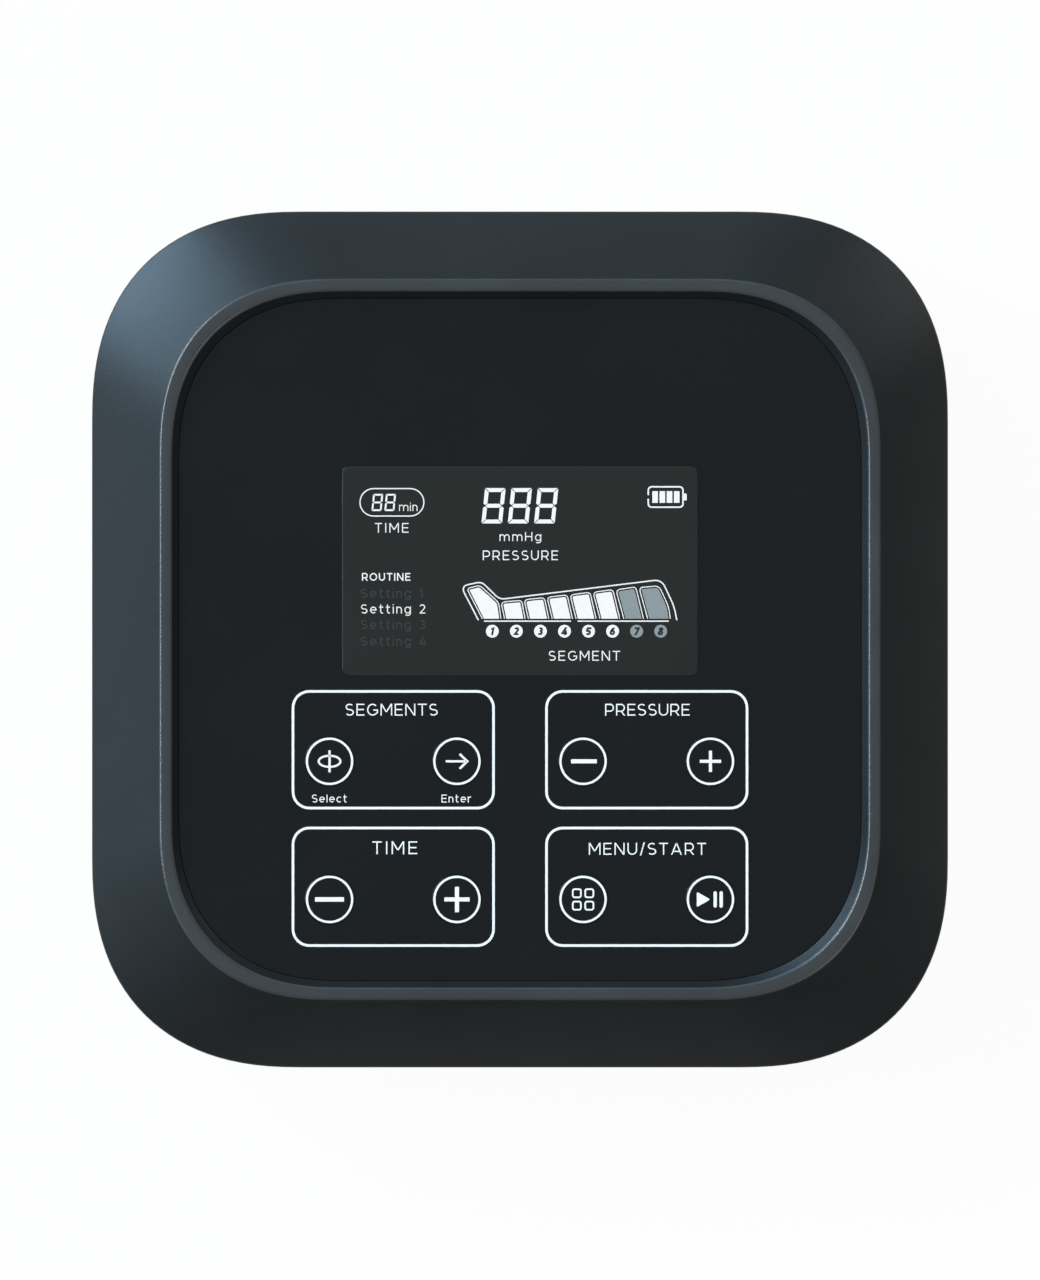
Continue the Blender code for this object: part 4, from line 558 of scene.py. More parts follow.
def make_top_cover():
    """Walls, sloped shoulder and flat raised rim, with the deck under the control panel."""
    slope = math.hypot(SHOULDER_WIDTH, SHOULDER_DROP)
    lower_edge = PARTING + GAP / 2
    rebate_half = INNER_HALF + TONGUE_WIDTH + GAP
    rebate_top = PARTING + TONGUE_HEIGHT + GAP
    inner_shoulder = SHOULDER_Z - (slope - SHOULDER_DROP) * CASE_WALL / SHOULDER_WIDTH
    inner_top_half = INNER_HALF - (DECK_BOTTOM - inner_shoulder) * SHOULDER_WIDTH / SHOULDER_DROP
    line = filleted([
        (RECESS_HALF, DECK_TOP, 0),
        (RECESS_HALF, PANEL_TOP - RECESS_SINK, 0),
        (RIM_INNER_HALF, CASE_HEIGHT, RIM_ROUND),
        (RIM_HALF - RIM_EASE, CASE_HEIGHT, RIM_ROUND),
        (CASE_HALF, SHOULDER_Z, SHOULDER_ROUND),
        (CASE_HALF, lower_edge, PARTING_CHAMFER),
        (rebate_half, lower_edge, 0),
        (rebate_half, rebate_top, 0),
        (INNER_HALF, rebate_top, 0),
        (INNER_HALF, inner_shoulder, 0.002),
        (inner_top_half, DECK_BOTTOM, 0.001),
    ], closed=False)
    cover = body("cover_top", [(case_outline(half), z) for half, z in line], skin=SHELL)
    for skin in (RIM, RIM_EDGE_HIGHLIGHT, RECESS):
        cover.data.materials.append(skin.material)
    posts = []
    holes = []
    for name in CORNERS:
        at = over("case_screw_" + name, FLOOR_TOP + BOSS_HEIGHT + GAP)
        posts.append(rod(BOSS_RADIUS, 0, DECK_BOTTOM + GAP - at.z, at))
        holes.append(rod(SCREW_SHANK_RADIUS + GAP, -OVERRUN, PILOT_DEPTH, at))
    above_board = KEY_BOARD_BOTTOM + BOARD_THICKNESS + GAP
    under_board = KEY_BOARD_BOTTOM - GAP
    stake = [
        (STAKE_RADIUS, DECK_BOTTOM + OVERRUN / 2, 0), (STAKE_RADIUS, above_board, 0),
        (STAKE_PIN_RADIUS, above_board, 0), (STAKE_PIN_RADIUS, under_board, 0),
        (STAKE_RADIUS, under_board, 0), (STAKE_RADIUS, STAKE_BOTTOM, 0.0008),
        (STAKE_RADIUS / 2, STAKE_BOTTOM, 0),
    ]
    posts += [turned("stake", stake, at, sides=SMALL_SIDES) for at in stake_places()]
    fuse(cover, posts)
    glass_low, glass_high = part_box("lcd_glass")
    holes.append(block(
        "display_hole", glass_high.x - glass_low.x + 2 * GAP, glass_high.y - glass_low.y + 2 * GAP,
        CASE_WALL + 2 * OVERRUN, (0, (glass_low.y + glass_high.y) / 2, DECK_BOTTOM - OVERRUN),
    ))
    through = (DECK_BOTTOM - OVERRUN, DECK_TOP + OVERRUN)
    holes += [rod(KEY_RADIUS + GAP, *through, over("key_" + key)) for key in KEYS]
    cut(cover, holes + [rear_cutter()])
    # The rim's flat top gets a lighter colour as painted light from above, its edge fillets a painted
    # highlight, and the recess's inward slope a darker matt copy as painted shade
    for face in cover.data.polygons:
        inward = face.center.xy.dot(face.normal.xy) < 0
        if face.center.z > CASE_HEIGHT - RIM_EDGE_DEPTH and face.normal.z > RIM_EDGE_LEAN:
            face.material_index = 1 if face.normal.z > RIM_FLAT_LEAN else 2
        elif face.center.z > PANEL_TOP - 2 * RECESS_SINK and inward:
            face.material_index = 3
    dress(cover, "case", "shell_plastic", "top_cover")


def make_bottom_cover():
    """Tray with rounded lower edges, foot pockets, screw wells, inner ribs and intake slots."""
    base_z = FOOT_STAND + BASE_RADIUS
    edge = PARTING - GAP / 2
    inner_radius = BASE_RADIUS - CASE_WALL
    base_half = CASE_HALF - BASE_RADIUS
    line = bend(base_half, base_z, BASE_RADIUS, BASE_RADIUS, -90, 0, 8)
    line += filleted([
        (CASE_HALF, base_z, 0),
        (CASE_HALF, edge, PARTING_CHAMFER),
        (INNER_HALF + TONGUE_WIDTH, edge, 0),
        (INNER_HALF + TONGUE_WIDTH, PARTING + TONGUE_HEIGHT, FINE_ROUND),
        (INNER_HALF, PARTING + TONGUE_HEIGHT, FINE_ROUND),
        (INNER_HALF, base_z, 0),
    ], closed=False)[1:-1]
    line += bend(base_half, base_z, inner_radius, inner_radius, 0, -90, 8)
    cover = body("cover_bottom", [(case_outline(half), z) for half, z in line], skin=SHELL)
    root = FLOOR_TOP - OVERRUN / 2
    bosses = []
    holes = []
    ledge = SCREW_SINK + SCREW_HEAD_HEIGHT + GAP
    for name in CORNERS:
        at = over("case_screw_" + name, FOOT_STAND)
        bosses.append(rod(BOSS_RADIUS, CASE_WALL - OVERRUN / 2, CASE_WALL + BOSS_HEIGHT, at))
        holes.append(rod(SCREW_HEAD_RADIUS + GAP, -OVERRUN, ledge, at))
        holes.append(rod(SCREW_SHANK_RADIUS + GAP, 0, CASE_WALL + BOSS_HEIGHT + OVERRUN, at))
        at = over("foot_" + name, FOOT_STAND)
        holes.append(rod(FOOT_RADIUS + GAP, -OVERRUN, FOOT_POCKET, at, sides=ROUND_SIDES))
        at = over("board_screw_" + name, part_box("main_board")[0].z - GAP)
        bosses.append(rod(STANDOFF_RADIUS, root - at.z, 0, at))
        holes.append(rod(SCREW_SHANK_RADIUS + GAP, -STANDOFF_BORE_DEPTH, OVERRUN, at))
    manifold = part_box("air_manifold")
    post_x = manifold[1].x - MANIFOLD_POST_WIDTH / 2
    post_y = (manifold[0].y + HOSE_NIPPLE_LENGTH + SOCKET_BACK - GAP) / 2
    rib_y = REAR_BOX[0].y - GAP - REAR_RIB_DEPTH / 2
    battery_x = middle("battery_pack").x
    for side in (-1, 1):
        stop_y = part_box("battery_pack")[(side + 1) // 2].y + side * (GAP + BATTERY_RIB_THICKNESS / 2)
        bosses += [block("boss", *size, (x, y, root)) for size, x, y in (
            ((MANIFOLD_POST_WIDTH, MANIFOLD_POST_WIDTH, manifold[0].z - GAP - root), side * post_x, post_y),
            ((REAR_RIB_WIDTH, REAR_RIB_DEPTH, REAR_RIB_HEIGHT), side * REAR_RIB_X, rib_y),
            ((BATTERY_RIB_WIDTH, BATTERY_RIB_THICKNESS, BATTERY_RIB_HEIGHT), battery_x, stop_y),
        )]
    vent_middle = (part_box("saddle_motor")[1].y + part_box("saddle_crankcase")[0].y) / 2
    slot = rounded_rectangle(VENT_LENGTH, VENT_WIDTH, VENT_WIDTH / 2 - 0.0001)
    for index in range(VENT_COUNT):
        place = (middle("pump_crankcase").x, vent_middle + (index - (VENT_COUNT - 1) / 2) * VENT_PITCH, 0)
        holes.append(prism("vent", slot, FOOT_STAND - OVERRUN, FLOOR_TOP + OVERRUN, place))
    fuse(cover, bosses)
    cut(cover, holes + [rear_cutter()])
    dress(cover, "case", "shell_plastic", "bottom_cover")


def make_case_hardware():
    """Feet with a moulded groove, and screws with a cross recess."""
    for name in CORNERS:
        foot = turned("foot_pad_" + name, [
            (0.0001, FOOT_GROOVE, 0), (0.0040, FOOT_GROOVE, FINE_ROUND), (0.0043, 0, FINE_ROUND),
            (FOOT_RADIUS - 0.0006, 0, SMALL_ROUND), (FOOT_RADIUS, 0.0009, SMALL_ROUND),
            (FOOT_RADIUS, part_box("foot_" + name)[1].z, 0),
        ], over("foot_" + name), skin=RUBBER)
        dress(foot, "case", "black_rubber", "foot_" + name)
        at = over("case_screw_" + name)
        low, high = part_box("case_screw_" + name)
        neck = low.z + SCREW_HEAD_HEIGHT
        screw = turned("cover_screw_" + name, [
            (SCREW_HEAD_RADIUS, low.z, SMALL_ROUND), (SCREW_HEAD_RADIUS, neck, 0),
            (SCREW_SHANK_RADIUS, neck, 0), (SCREW_SHANK_RADIUS, high.z - 0.001, 0),
            (SCREW_SHANK_RADIUS / 3, high.z, 0),
        ], at, skin=STEEL, sides=SMALL_SIDES)
        cut(screw, [
            block("cross", width, depth, OVERRUN + CROSS_DEPTH, (at.x, at.y, low.z - OVERRUN))
            for width, depth in ((CROSS_LENGTH, CROSS_WIDTH), (CROSS_WIDTH, CROSS_LENGTH))
        ])
        dress(screw, "case", "steel", "case_screw_" + name)


# Control face

def make_control_face():
    """Gloss plate in the rim, smoked window and the eight round caps."""
    plate = prism("control_plate", case_outline(RECESS_HALF - SEAM), PANEL_LOW.z, PANEL_TOP, skin=PANEL)
    lens_low, lens_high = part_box("display_lens")
    width = lens_high.x - lens_low.x + 2 * (GAP - SEAM)
    height = lens_high.y - lens_low.y + 2 * (GAP - SEAM)
    at = (0, (lens_low.y + lens_high.y) / 2, 0)
    through = (PANEL_LOW.z - OVERRUN, PANEL_TOP + OVERRUN)
    window = rounded_rectangle(width + 2 * SEAM, height + 2 * SEAM, WINDOW_RADIUS)
    holes = [prism("window", window, *through, at)]
    holes += [rod(KEY_RADIUS + SEAM, *through, over("key_" + key), sides=ROUND_SIDES) for key in KEYS]
    cut(plate, holes)
    dress(plate, "case", "panel_gloss", "control_panel")

    line = filleted([(0, PANEL_LOW.z, 0), (0, PANEL_TOP, CAP_ROUND), (-0.001, PANEL_TOP, 0)], closed=False)
    lens = framed(
        "display_window", width, height, line, lambda out: WINDOW_RADIUS - SEAM + out, at, "Z", LENS
    )
    dress(lens, "case", "lens_clear", "display_lens")

    flange_top = DECK_BOTTOM - GAP
    flange_low = flange_top - KEY_FLANGE_HEIGHT
    for key in KEYS:
        low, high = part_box("key_" + key)
        cap = turned("cap_" + key, [
            (KEY_STEM_RADIUS, low.z, 0), (KEY_STEM_RADIUS, flange_low, 0), (KEY_FLANGE_RADIUS, flange_low, 0),
            (KEY_FLANGE_RADIUS, flange_top, 0), (KEY_RADIUS, flange_top, 0), (KEY_RADIUS, high.z, CAP_ROUND),
            (KEY_RADIUS - 0.001, high.z, 0),
        ], over("key_" + key), skin=PANEL)
        dress(cap, key + "_key", "panel_gloss", "key_" + key)


# Lettering as plain strokes of one width. A letter's strokes are given on a capital height of 1,
# with h for half the stroke's width. A slanted stroke of two points has level ends.

LOWER = 0.75


def letter(character, h):
    """The width and the strokes of one letter."""

    def arc(x, y, across, high, start, end, steps=12):
        """Part of an oval that the stroke's outer edge follows."""
        return bend(x, y, across - h, high - h, start, end, steps)

    def up(u):
        """An upright stroke."""
        return [(u, 0), (u, 1)]

    t = 1 - h
    x = LOWER - h
    bowl = (1 - 2 * h) / 4
    stem = up(h)
    short = [(h, 0), (h, LOWER)]
    loop = [
        (h, 0), (h, t), (0.44, t), *bend(0.44, (t + 0.38) / 2, 0.31 - h, (t - 0.38) / 2, 90, -90),
        (2 * h, 0.38),
    ]
    arch = [*bend(0.30, 0.42, 0.30 - h, x - 0.42, 180, 0), (0.60 - h, 0)]
    shapes = {
        "A": (0.92, [
            [(1.1 * h, 0), (0.46, 1)], [(0.92 - 1.1 * h, 0), (0.46, 1)], [(0.2, 0.29), (0.72, 0.29)],
        ]),
        "E": (0.68, [[(0.68, t), (h, t), (h, h), (0.68, h)], [(2 * h, 0.51), (0.62, 0.51)]]),
        "G": (0.92, [[
            *arc(0.47, 0.5, 0.47, 0.5, 45, 312), (0.92 - h, 0.24), (0.92 - h, 0.47), (0.54, 0.47),
        ]]),
        "H": (0.80, [stem, up(0.80 - h), [(2 * h, 0.5), (0.80 - 2 * h, 0.5)]]),
        "I": (2 * h, [stem]),
        "M": (0.98, [
            stem, up(0.98 - h), [(1.2 * h, 1), (0.49, 0.3)], [(0.98 - 1.2 * h, 1), (0.49, 0.3)],
        ]),
        "N": (0.84, [stem, up(0.84 - h), [(1.2 * h, 1), (0.84 - 1.2 * h, 0)]]),
        "O": (0.97, [arc(0.485, 0.5, 0.485, 0.5, 0, 360, 24)]),
        "P": (0.75, [loop]),
        "R": (0.78, [loop, [(0.42, 0.38), (0.78 - 1.2 * h, 0)]]),
        "S": (0.72, [
            [*bend(0.355, t - bowl, 0.335 - h, bowl, 38, 250),
             *bend(0.36, h + bowl, 0.36 - h, bowl, 70, -142)],
        ]),
        "T": (0.74, [[(0, t), (0.74, t)], [(0.37, 0), (0.37, 1 - 2 * h)]]),
        "U": (0.80, [[(h, 1), *arc(0.40, 0.39, 0.40, 0.39, 180, 360), (0.80 - h, 1)]]),
        "/": (0.40, [[(0.04, -0.06), (0.36, 1.04)]]),
        "c": (0.62, [bend(0.34, LOWER / 2, 0.34 - h, x - LOWER / 2, 48, 312)]),
        "e": (0.70, [[(2 * h, 0.38), *arc(0.35, 0.38, 0.35, 0.37, 0, 312)]]),
        "g": (0.70, [
            arc(0.34, 0.375, 0.34, 0.375, 0, 360, 20),
            [(0.70 - h, LOWER), *arc(0.35, 0.02, 0.35, 0.27, 0, -142)],
        ]),
        "i": (2 * h, [short, [(h, 0.9), (h, 0.9 + 2 * h)]]),
        "l": (2 * h, [stem]),
        "m": (1.12, [
            short, arch, [(u + 0.60 - 2 * h + (1.12 - 1.20 + 2 * h), v) for u, v in arch],
        ]),
        "n": (0.60, [short, arch]),
        "r": (0.42, [short, bend(0.36, 0.40, 0.36 - h, x - 0.40, 180, 80)]),
        "t": (0.46, [[(0.17, 0.98), *bend(0.36, 0.24, 0.19, 0.24 - h, 180, 292)], [(0, x), (0.44, x)]]),
        "1": (0.36, [[(0.04, 0.70), (0.36 - 2 * h, t)], up(0.36 - h)]),
        "2": (0.66, [[*arc(0.32, 0.69, 0.31, 0.31, 160, -35), (1.6 * h, h), (0.66, h)]]),
        "3": (0.64, [
            [*bend(0.30, t - bowl, 0.29 - h, bowl, 145, -72),
             *bend(0.30, h + bowl, 0.34 - h, bowl, 72, -145)],
        ]),
        "4": (0.76, [
            [(0.50, 1), (1.2 * h, 0.28)], [(0.2 * h, 0.24), (0.76, 0.24)], [(0.54, 0), (0.54, 0.62)],
        ]),
        "5": (0.66, [[(0.62, t), (0.14, t), (0.11, 0.56), *arc(0.31, 0.33, 0.35, 0.33, 112, -140)]]),
        "6": (0.68, [
            arc(0.34, 0.33, 0.34, 0.33, 0, 360, 20), arc(0.58, 0.33, 0.58, 0.67, 180, 98),
        ]),
        "7": (0.64, [[(0.02, t), (0.64, t)], [(0.64 - 1.2 * h, t - h), (0.24, 0)]]),
        "8": (0.68, [
            arc(0.34, 0.755, 0.29, 0.245, 0, 360, 20), arc(0.34, 0.29, 0.34, 0.29, 0, 360, 20),
        ]),
        " ": (0.35, []),
    }
    return shapes[character]


# Printed and lit shapes, flat solids that reach from just under a face to just over it

INK_SINK = 0.00010
INK_RISE = 0.00002
STROKE_STEP = 0.0000004


class Ink:
    """Collects flat shapes of one colour on one face. Shapes are given in millimetres."""

    def __init__(self, face, centre=(0, 0), rise=INK_RISE):
        self.mesh = bmesh.new()
        self.low = face - INK_SINK
        self.high = face + rise
        self.centre = centre

    def rows(self, outline, lift):
        """An outline's points at both levels."""
        return [
            [self.mesh.verts.new((self.centre[0] + x * MM, self.centre[1] + y * MM, z)) for x, y in outline]
            for z in (self.low, self.high + lift)
        ]

    def strips(self, pairs, closed=True):
        """Faces between the rows of points in each pair."""
        count = len(pairs[0][0])
        for here in range(count if closed else count - 1):
            after = (here + 1) % count
            for one, other in pairs:
                self.mesh.faces.new((one[here], one[after], other[after], other[here]))

    def fill(self, outline, lift=0.0):
        """A filled shape."""
        lower, upper = self.rows(outline, lift)
        self.mesh.faces.new(lower)
        self.mesh.faces.new(upper)
        self.strips([(lower, upper)])

    def line(self, points, width, closed=True, lift=0.0):
        """A line of a width along points."""
        left, right = (self.rows(beside(points, side, closed), lift) for side in (width / 2, -width / 2))
        self.strips([(left[0], right[0]), (left[1], right[1]), left, right], closed)
        if not closed:
            for end in (0, -1):
                self.mesh.faces.new((left[0][end], right[0][end], right[1][end], left[1][end]))

    def word(self, text, x, y, cap, tracking=0.17, weight=0.115, slant=0.0, start=False):
        """A word in capitals of a height, centred on x or starting there, with its foot at y."""
        h = weight / 2
        shapes = [letter(character, h) for character in text]
        width = sum(shape[0] for shape in shapes) + tracking * (len(shapes) - 1)
        pen = 0 if start else -width / 2
        for across, strokes in shapes:
            for index, stroke in enumerate(strokes):
                lift = index * STROKE_STEP
                points = [(x + (pen + u + slant * v) * cap, y + v * cap) for u, v in stroke]
                (x0, y0), (x1, y1) = points[0], points[-1]
                if len(points) == 2 and x0 != x1 and y0 != y1:
                    half = h * cap * math.hypot(x1 - x0, y1 - y0) / abs(y1 - y0)
                    self.fill([(x0 - half, y0), (x0 + half, y0), (x1 + half, y1), (x1 - half, y1)], lift)
                elif math.dist(points[0], points[-1]) < h * cap:
                    self.line(points[:-1], weight * cap, lift=lift)
                else:
                    self.line(points, weight * cap, closed=False, lift=lift)
            pen += across + tracking

    def digit(self, x, y, width, height, stroke, gap, slant):
        """All seven bars of a slanted digit, mitred where they meet."""
        half, mid = stroke / 2, height / 2
        side = [
            (0, height - 1.4 * gap), (stroke, height - stroke - gap), (stroke, mid + half + gap),
            (half, mid + 1.4 * gap), (0, mid + half + gap / 2),
        ]
        end = [
            (1.4 * gap, height), (stroke + gap, height - stroke), (width - stroke - gap, height - stroke),
            (width - 1.4 * gap, height),
        ]
        bars = [end, side, [(width - u, v) for u, v in side]]
        bars += [[(u, height - v) for u, v in bar] for bar in bars]
        bars.append([
            (half + gap, mid), (stroke + gap, mid - half), (width - stroke - gap, mid - half),
            (width - half - gap, mid), (width - stroke - gap, mid + half), (stroke + gap, mid + half),
        ])
        for bar in bars:
            self.fill([(x + u + v * slant, y + v) for u, v in bar])

    def stamp(self, name, skin, rides, place=None):
        """Turns the collected shapes into a piece, which may be moved from its flat place."""
        if place:
            self.mesh.transform(place)
        item = settle(self.mesh, name, skin)
        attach(item, rides)


def bar(width, height, x=0.0, y=0.0, radius=0.12):
    """A short bar with slightly rounded ends."""
    return rounded_rectangle(width, height, min(radius, width / 2.01, height / 2.01), (x, y), 3)


def plus(width, stroke):
    """A plus sign's outline."""
    far, near = width / 2, stroke / 2
    return four_times(((far, -near), (far, near), (near, near)))


# Places on the control face in millimetres. Frames have a middle and a height, words a middle, a foot,
# a capital height, tracking and stroke, and digits their left ends, a foot, width, height, stroke, gap
# and slant. The lines of settings have a foot each.
FRAMES = ((-25.7, 27.2), (-57.65, 27.4))
FRAME_X = 29.55
FRAME_WIDTH = 46.75
FRAME_RADIUS = 3.8
FRAME_STROKE = 0.6
RING_RADIUS = 5.27
RING_STROKE = 0.52
SIGN_STROKE = 0.52
PANEL_WORDS = (
    ("SEGMENTS", -29.95, -17.75, 2.78, 0.21, 0.102), ("PRESSURE", 29.7, -17.75, 2.75, 0.18, 0.102),
    ("TIME", -29.2, -50.05, 3.0, 0.33, 0.102), ("MENU/START", 29.7, -50.2, 2.8, 0.24, 0.102),
    ("Select", -44.45, -38.0, 1.85, 0.22, 0.115), ("Enter", -14.85, -38.0, 1.85, 0.22, 0.115),
)
DISPLAY_WORDS = (
    ("min", -26.05, 29.95, 1.95, 0.19, 0.105), ("TIME", -29.9, 24.9, 2.25, 0.33, 0.105),
    ("mmHg", 0.1, 22.95, 2.1, 0.30, 0.105), ("PRESSURE", 0.1, 18.5, 2.25, 0.27, 0.11),
    ("SEGMENT", 15.0, -4.95, 2.3, 0.28, 0.108),
)
DIGITS = (
    ((-34.65, -31.65), (29.95, 2.35, 4.0, 0.42, 0.08, 0.105)),
    ((-9.0, -2.86, 3.28), (27.05, 4.8, 8.25, 0.92, 0.10, 0.105)),
)
SETTING_FEET = (9.7, 6.05, 2.4, -1.5)
SETTING_LIT = 1


def print_panel():
    """The four frames around the key pairs and the plain words in them."""
    ink = Ink(PANEL_TOP)
    for side in (-1, 1):
        for y, high in FRAMES:
            ink.line(rounded_rectangle(FRAME_WIDTH, high, FRAME_RADIUS, (side * FRAME_X, y)), FRAME_STROKE)
    for word in PANEL_WORDS:
        ink.word(*word)
    ink.stamp("panel_legends", LEGEND, "case")


def print_keys():
    """A ring and a symbol on each cap."""
    fills = {
        "confirm": [bar(4.8, SIGN_STROKE, -0.2)],
        "pressure_down": [bar(6.0, 0.95, 0.2)],
        "pressure_up": [plus(4.95, 0.72)],
        "time_down": [bar(6.75, 1.05)],
        "time_up": [plus(5.9, 0.95)],
        "start": [
            filleted([(-3.2, -1.8, 0.25), (0.0, 0, 0.3), (-3.2, 1.8, 0.25)]),
            bar(0.78, 3.8, 1.1, 0, 0.35), bar(0.78, 3.8, 2.5, 0, 0.35),
        ],
    }
    for key in KEYS:
        spot = middle("key_" + key)
        ink = Ink(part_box("key_" + key)[1].z, (spot.x, spot.y))
        ink.line(circle(RING_RADIUS), RING_STROKE)
        for shape in fills.get(key, ()):
            ink.fill(shape)
        if key == "position":
            ink.line(circle(2.54, 48, squeeze=0.51), 0.48)
            ink.fill(bar(0.55, 5.15), STROKE_STEP)
        elif key == "confirm":
            ink.line([(0.62, 1.72), (2.42, 0), (0.62, -1.72)], SIGN_STROKE, closed=False, lift=STROKE_STEP)
        elif key == "mode":
            for side in (-1, 1):
                for end in (-1, 1):
                    ink.line(rounded_rectangle(1.9, 1.9, 0.45, (side * 1.45, end * 1.45), 4), 0.38)
        ink.stamp("legend_" + key, LEGEND, key + "_key")


CELL_COUNT = 8
CELL_FULL = 6
CELL_FOOT = 4.85
CELL_INSET = 0.42
DISC_FIRST_X = -6.45
DISC_PITCH = 5.607
DISC_Y = 1.93


def sleeve_cells():
    """The outlines of the sleeve's chambers from the foot to the thigh, open below."""
    cells = [[
        (-8.78, CELL_FOOT, 0), (-12.40, 11.86, 0.7), (-9.40, 12.63, 1.3), (-4.96, 8.60, 2.4),
        (-4.44, CELL_FOOT, 0),
    ]]
    for index in range(CELL_COUNT - 1):
        lean = 0.82 + 0.20 * index
        left, left_top = -4.42 + 5.36 * index, 8.70 + 0.57 * index
        right, right_top = 0.37 + 5.32 * index, 9.12 + 0.63 * index
        cells.append([
            (left + lean, CELL_FOOT, 0), (left, left_top, 0.9), (right, right_top, 0.9),
            (right + lean, CELL_FOOT, 0),
        ])
    cells[-1][2:] = [(32.40, 12.50, 1.6), (34.60, 7.80, 12), (35.05, CELL_FOOT, 0)]
    return [filleted(cell, closed=False, steps=6) for cell in cells]


def light_display():
    """What the display shows: time, pressure, battery, settings and the sleeve's chambers."""
    lit, grey, ghost = (Ink(PANEL_TOP) for _ in range(3))
    dark = Ink(PANEL_TOP, rise=2 * INK_RISE)
    for word in DISPLAY_WORDS:
        lit.word(*word)

    pill = rounded_rectangle(14.9, 6.4, 3.19, (-29.86, 31.98), 10)
    half = len(pill) // 2
    for part in (pill[:half], pill[half:]):
        lit.line(part, 0.27, closed=False)
    for places, sizes in DIGITS:
        for place in places:
            lit.digit(place, *sizes)

    case = rounded_rectangle(8.1, 4.75, 0.8, (33.95, 33.22), 4)
    turn = len(case) // 2
    lit.line([(29.9, 32.8)] + case[turn:] + case[:turn] + [(29.9, 33.65)], 0.36, closed=False)
    lit.fill(bar(0.75, 1.6, 38.5, 33.22, 0.2))
    for index in range(4):
        lit.fill(bar(1.31, 2.72, 31.5 + index * 1.68, 33.22, 0.05))

    lit.word("ROUTINE", -36.85, 13.7, 1.8, 0.22, 0.15, start=True)
    for index, foot in enumerate(SETTING_FEET):
        target = lit if index == SETTING_LIT else ghost
        target.word("Setting %d" % (index + 1), -37.1, foot, 2.15, 0.28, 0.11, start=True)

    lit.line(filleted([
        (-9.69, 4.50, 0), (-13.80, 12.45, 1.4), (-8.95, 13.44, 2.1), (-4.75, 9.34, 2.8), (33.00, 13.98, 2.6),
        (35.95, 7.62, 20), (36.55, 4.50, 0),
    ], closed=False, steps=8), 0.31, closed=False)
    for index, cell in enumerate(sleeve_cells()):
        lit.line(cell, 0.22, closed=False)
        target = lit if index < CELL_FULL else grey
        inner = beside(cell, -CELL_INSET, False)
        target.fill([(inner[0][0], CELL_FOOT), *inner[1:-1], (inner[-1][0], CELL_FOOT)])
    lit.fill(bar(20.3, 0.3, 1.75, 4.28, 0.05))
    lit.fill(bar(21.2, 0.3, 24.05, 4.28, 0.05))
    for index in range(CELL_COUNT):
        x = DISC_FIRST_X + index * DISC_PITCH
        target = lit if index < CELL_FULL else grey
        target.fill(circle(1.5, 32, (x, DISC_Y)))
        dark.word(str(index + 1), x - 0.18, DISC_Y - 0.92, 1.84, 0, 0.25, slant=0.2)
    for name, ink, skin in (
        ("lit", lit, LIT), ("grey", grey, GREYED), ("ghost", ghost, GHOST), ("numbers", dark, DARK),
    ):
        ink.stamp("display_" + name, skin, "case")


# Rear unit

def make_rear_panel():
    """Plate behind the rear opening."""
    outline = rounded_rectangle(
        REAR_OPENING_WIDTH + 2 * REAR_LAP, OPENING_HEIGHT + 2 * REAR_LAP, REAR_OPENING_RADIUS + REAR_LAP
    )
    low, high = REAR_BOX[0].y, REAR_BOX[1].y
    plate = prism("rear_plate", outline, low, high, (0, 0, OPENING_MIDDLE), "Y", BLACK)
    through = (low - OVERRUN, high + OVERRUN)
    room = 2 * (SOCKET_WALL + GAP)
    socket = rounded_rectangle(SOCKET_WIDTH + room, SOCKET_HEIGHT + room, SOCKET_RADIUS + GAP)
    holes = [prism("socket", socket, *through, (side * SOCKET_X, 0, SOCKET_Z), "Y") for side in (-1, 1)]
    room = 2 * (ROCKER_WALL + GAP)
    switch = rounded_rectangle(ROCKER_WIDTH + room, ROCKER_HEIGHT + room, 0.0006, steps=3)
    holes.append(prism("switch", switch, *through, (SOCKET_X, 0, ROCKER_Z), "Y"))
    holes.append(rod(POWER_BODY_RADIUS + GAP, *through, (-SOCKET_X, 0, ROCKER_Z), "Y", ROUND_SIDES))
    cut(plate, holes)
    dress(plate, "case", "black_plastic", "rear_panel")


def nipple_places(side):
    """The axes of the eight nipples in one socket."""
    return [
        (side * SOCKET_X + (column - 1.5) * NIPPLE_PITCH_X, 0, SOCKET_Z + (row - 0.5) * NIPPLE_PITCH_Z)
        for column in range(4)
        for row in range(2)
    ]


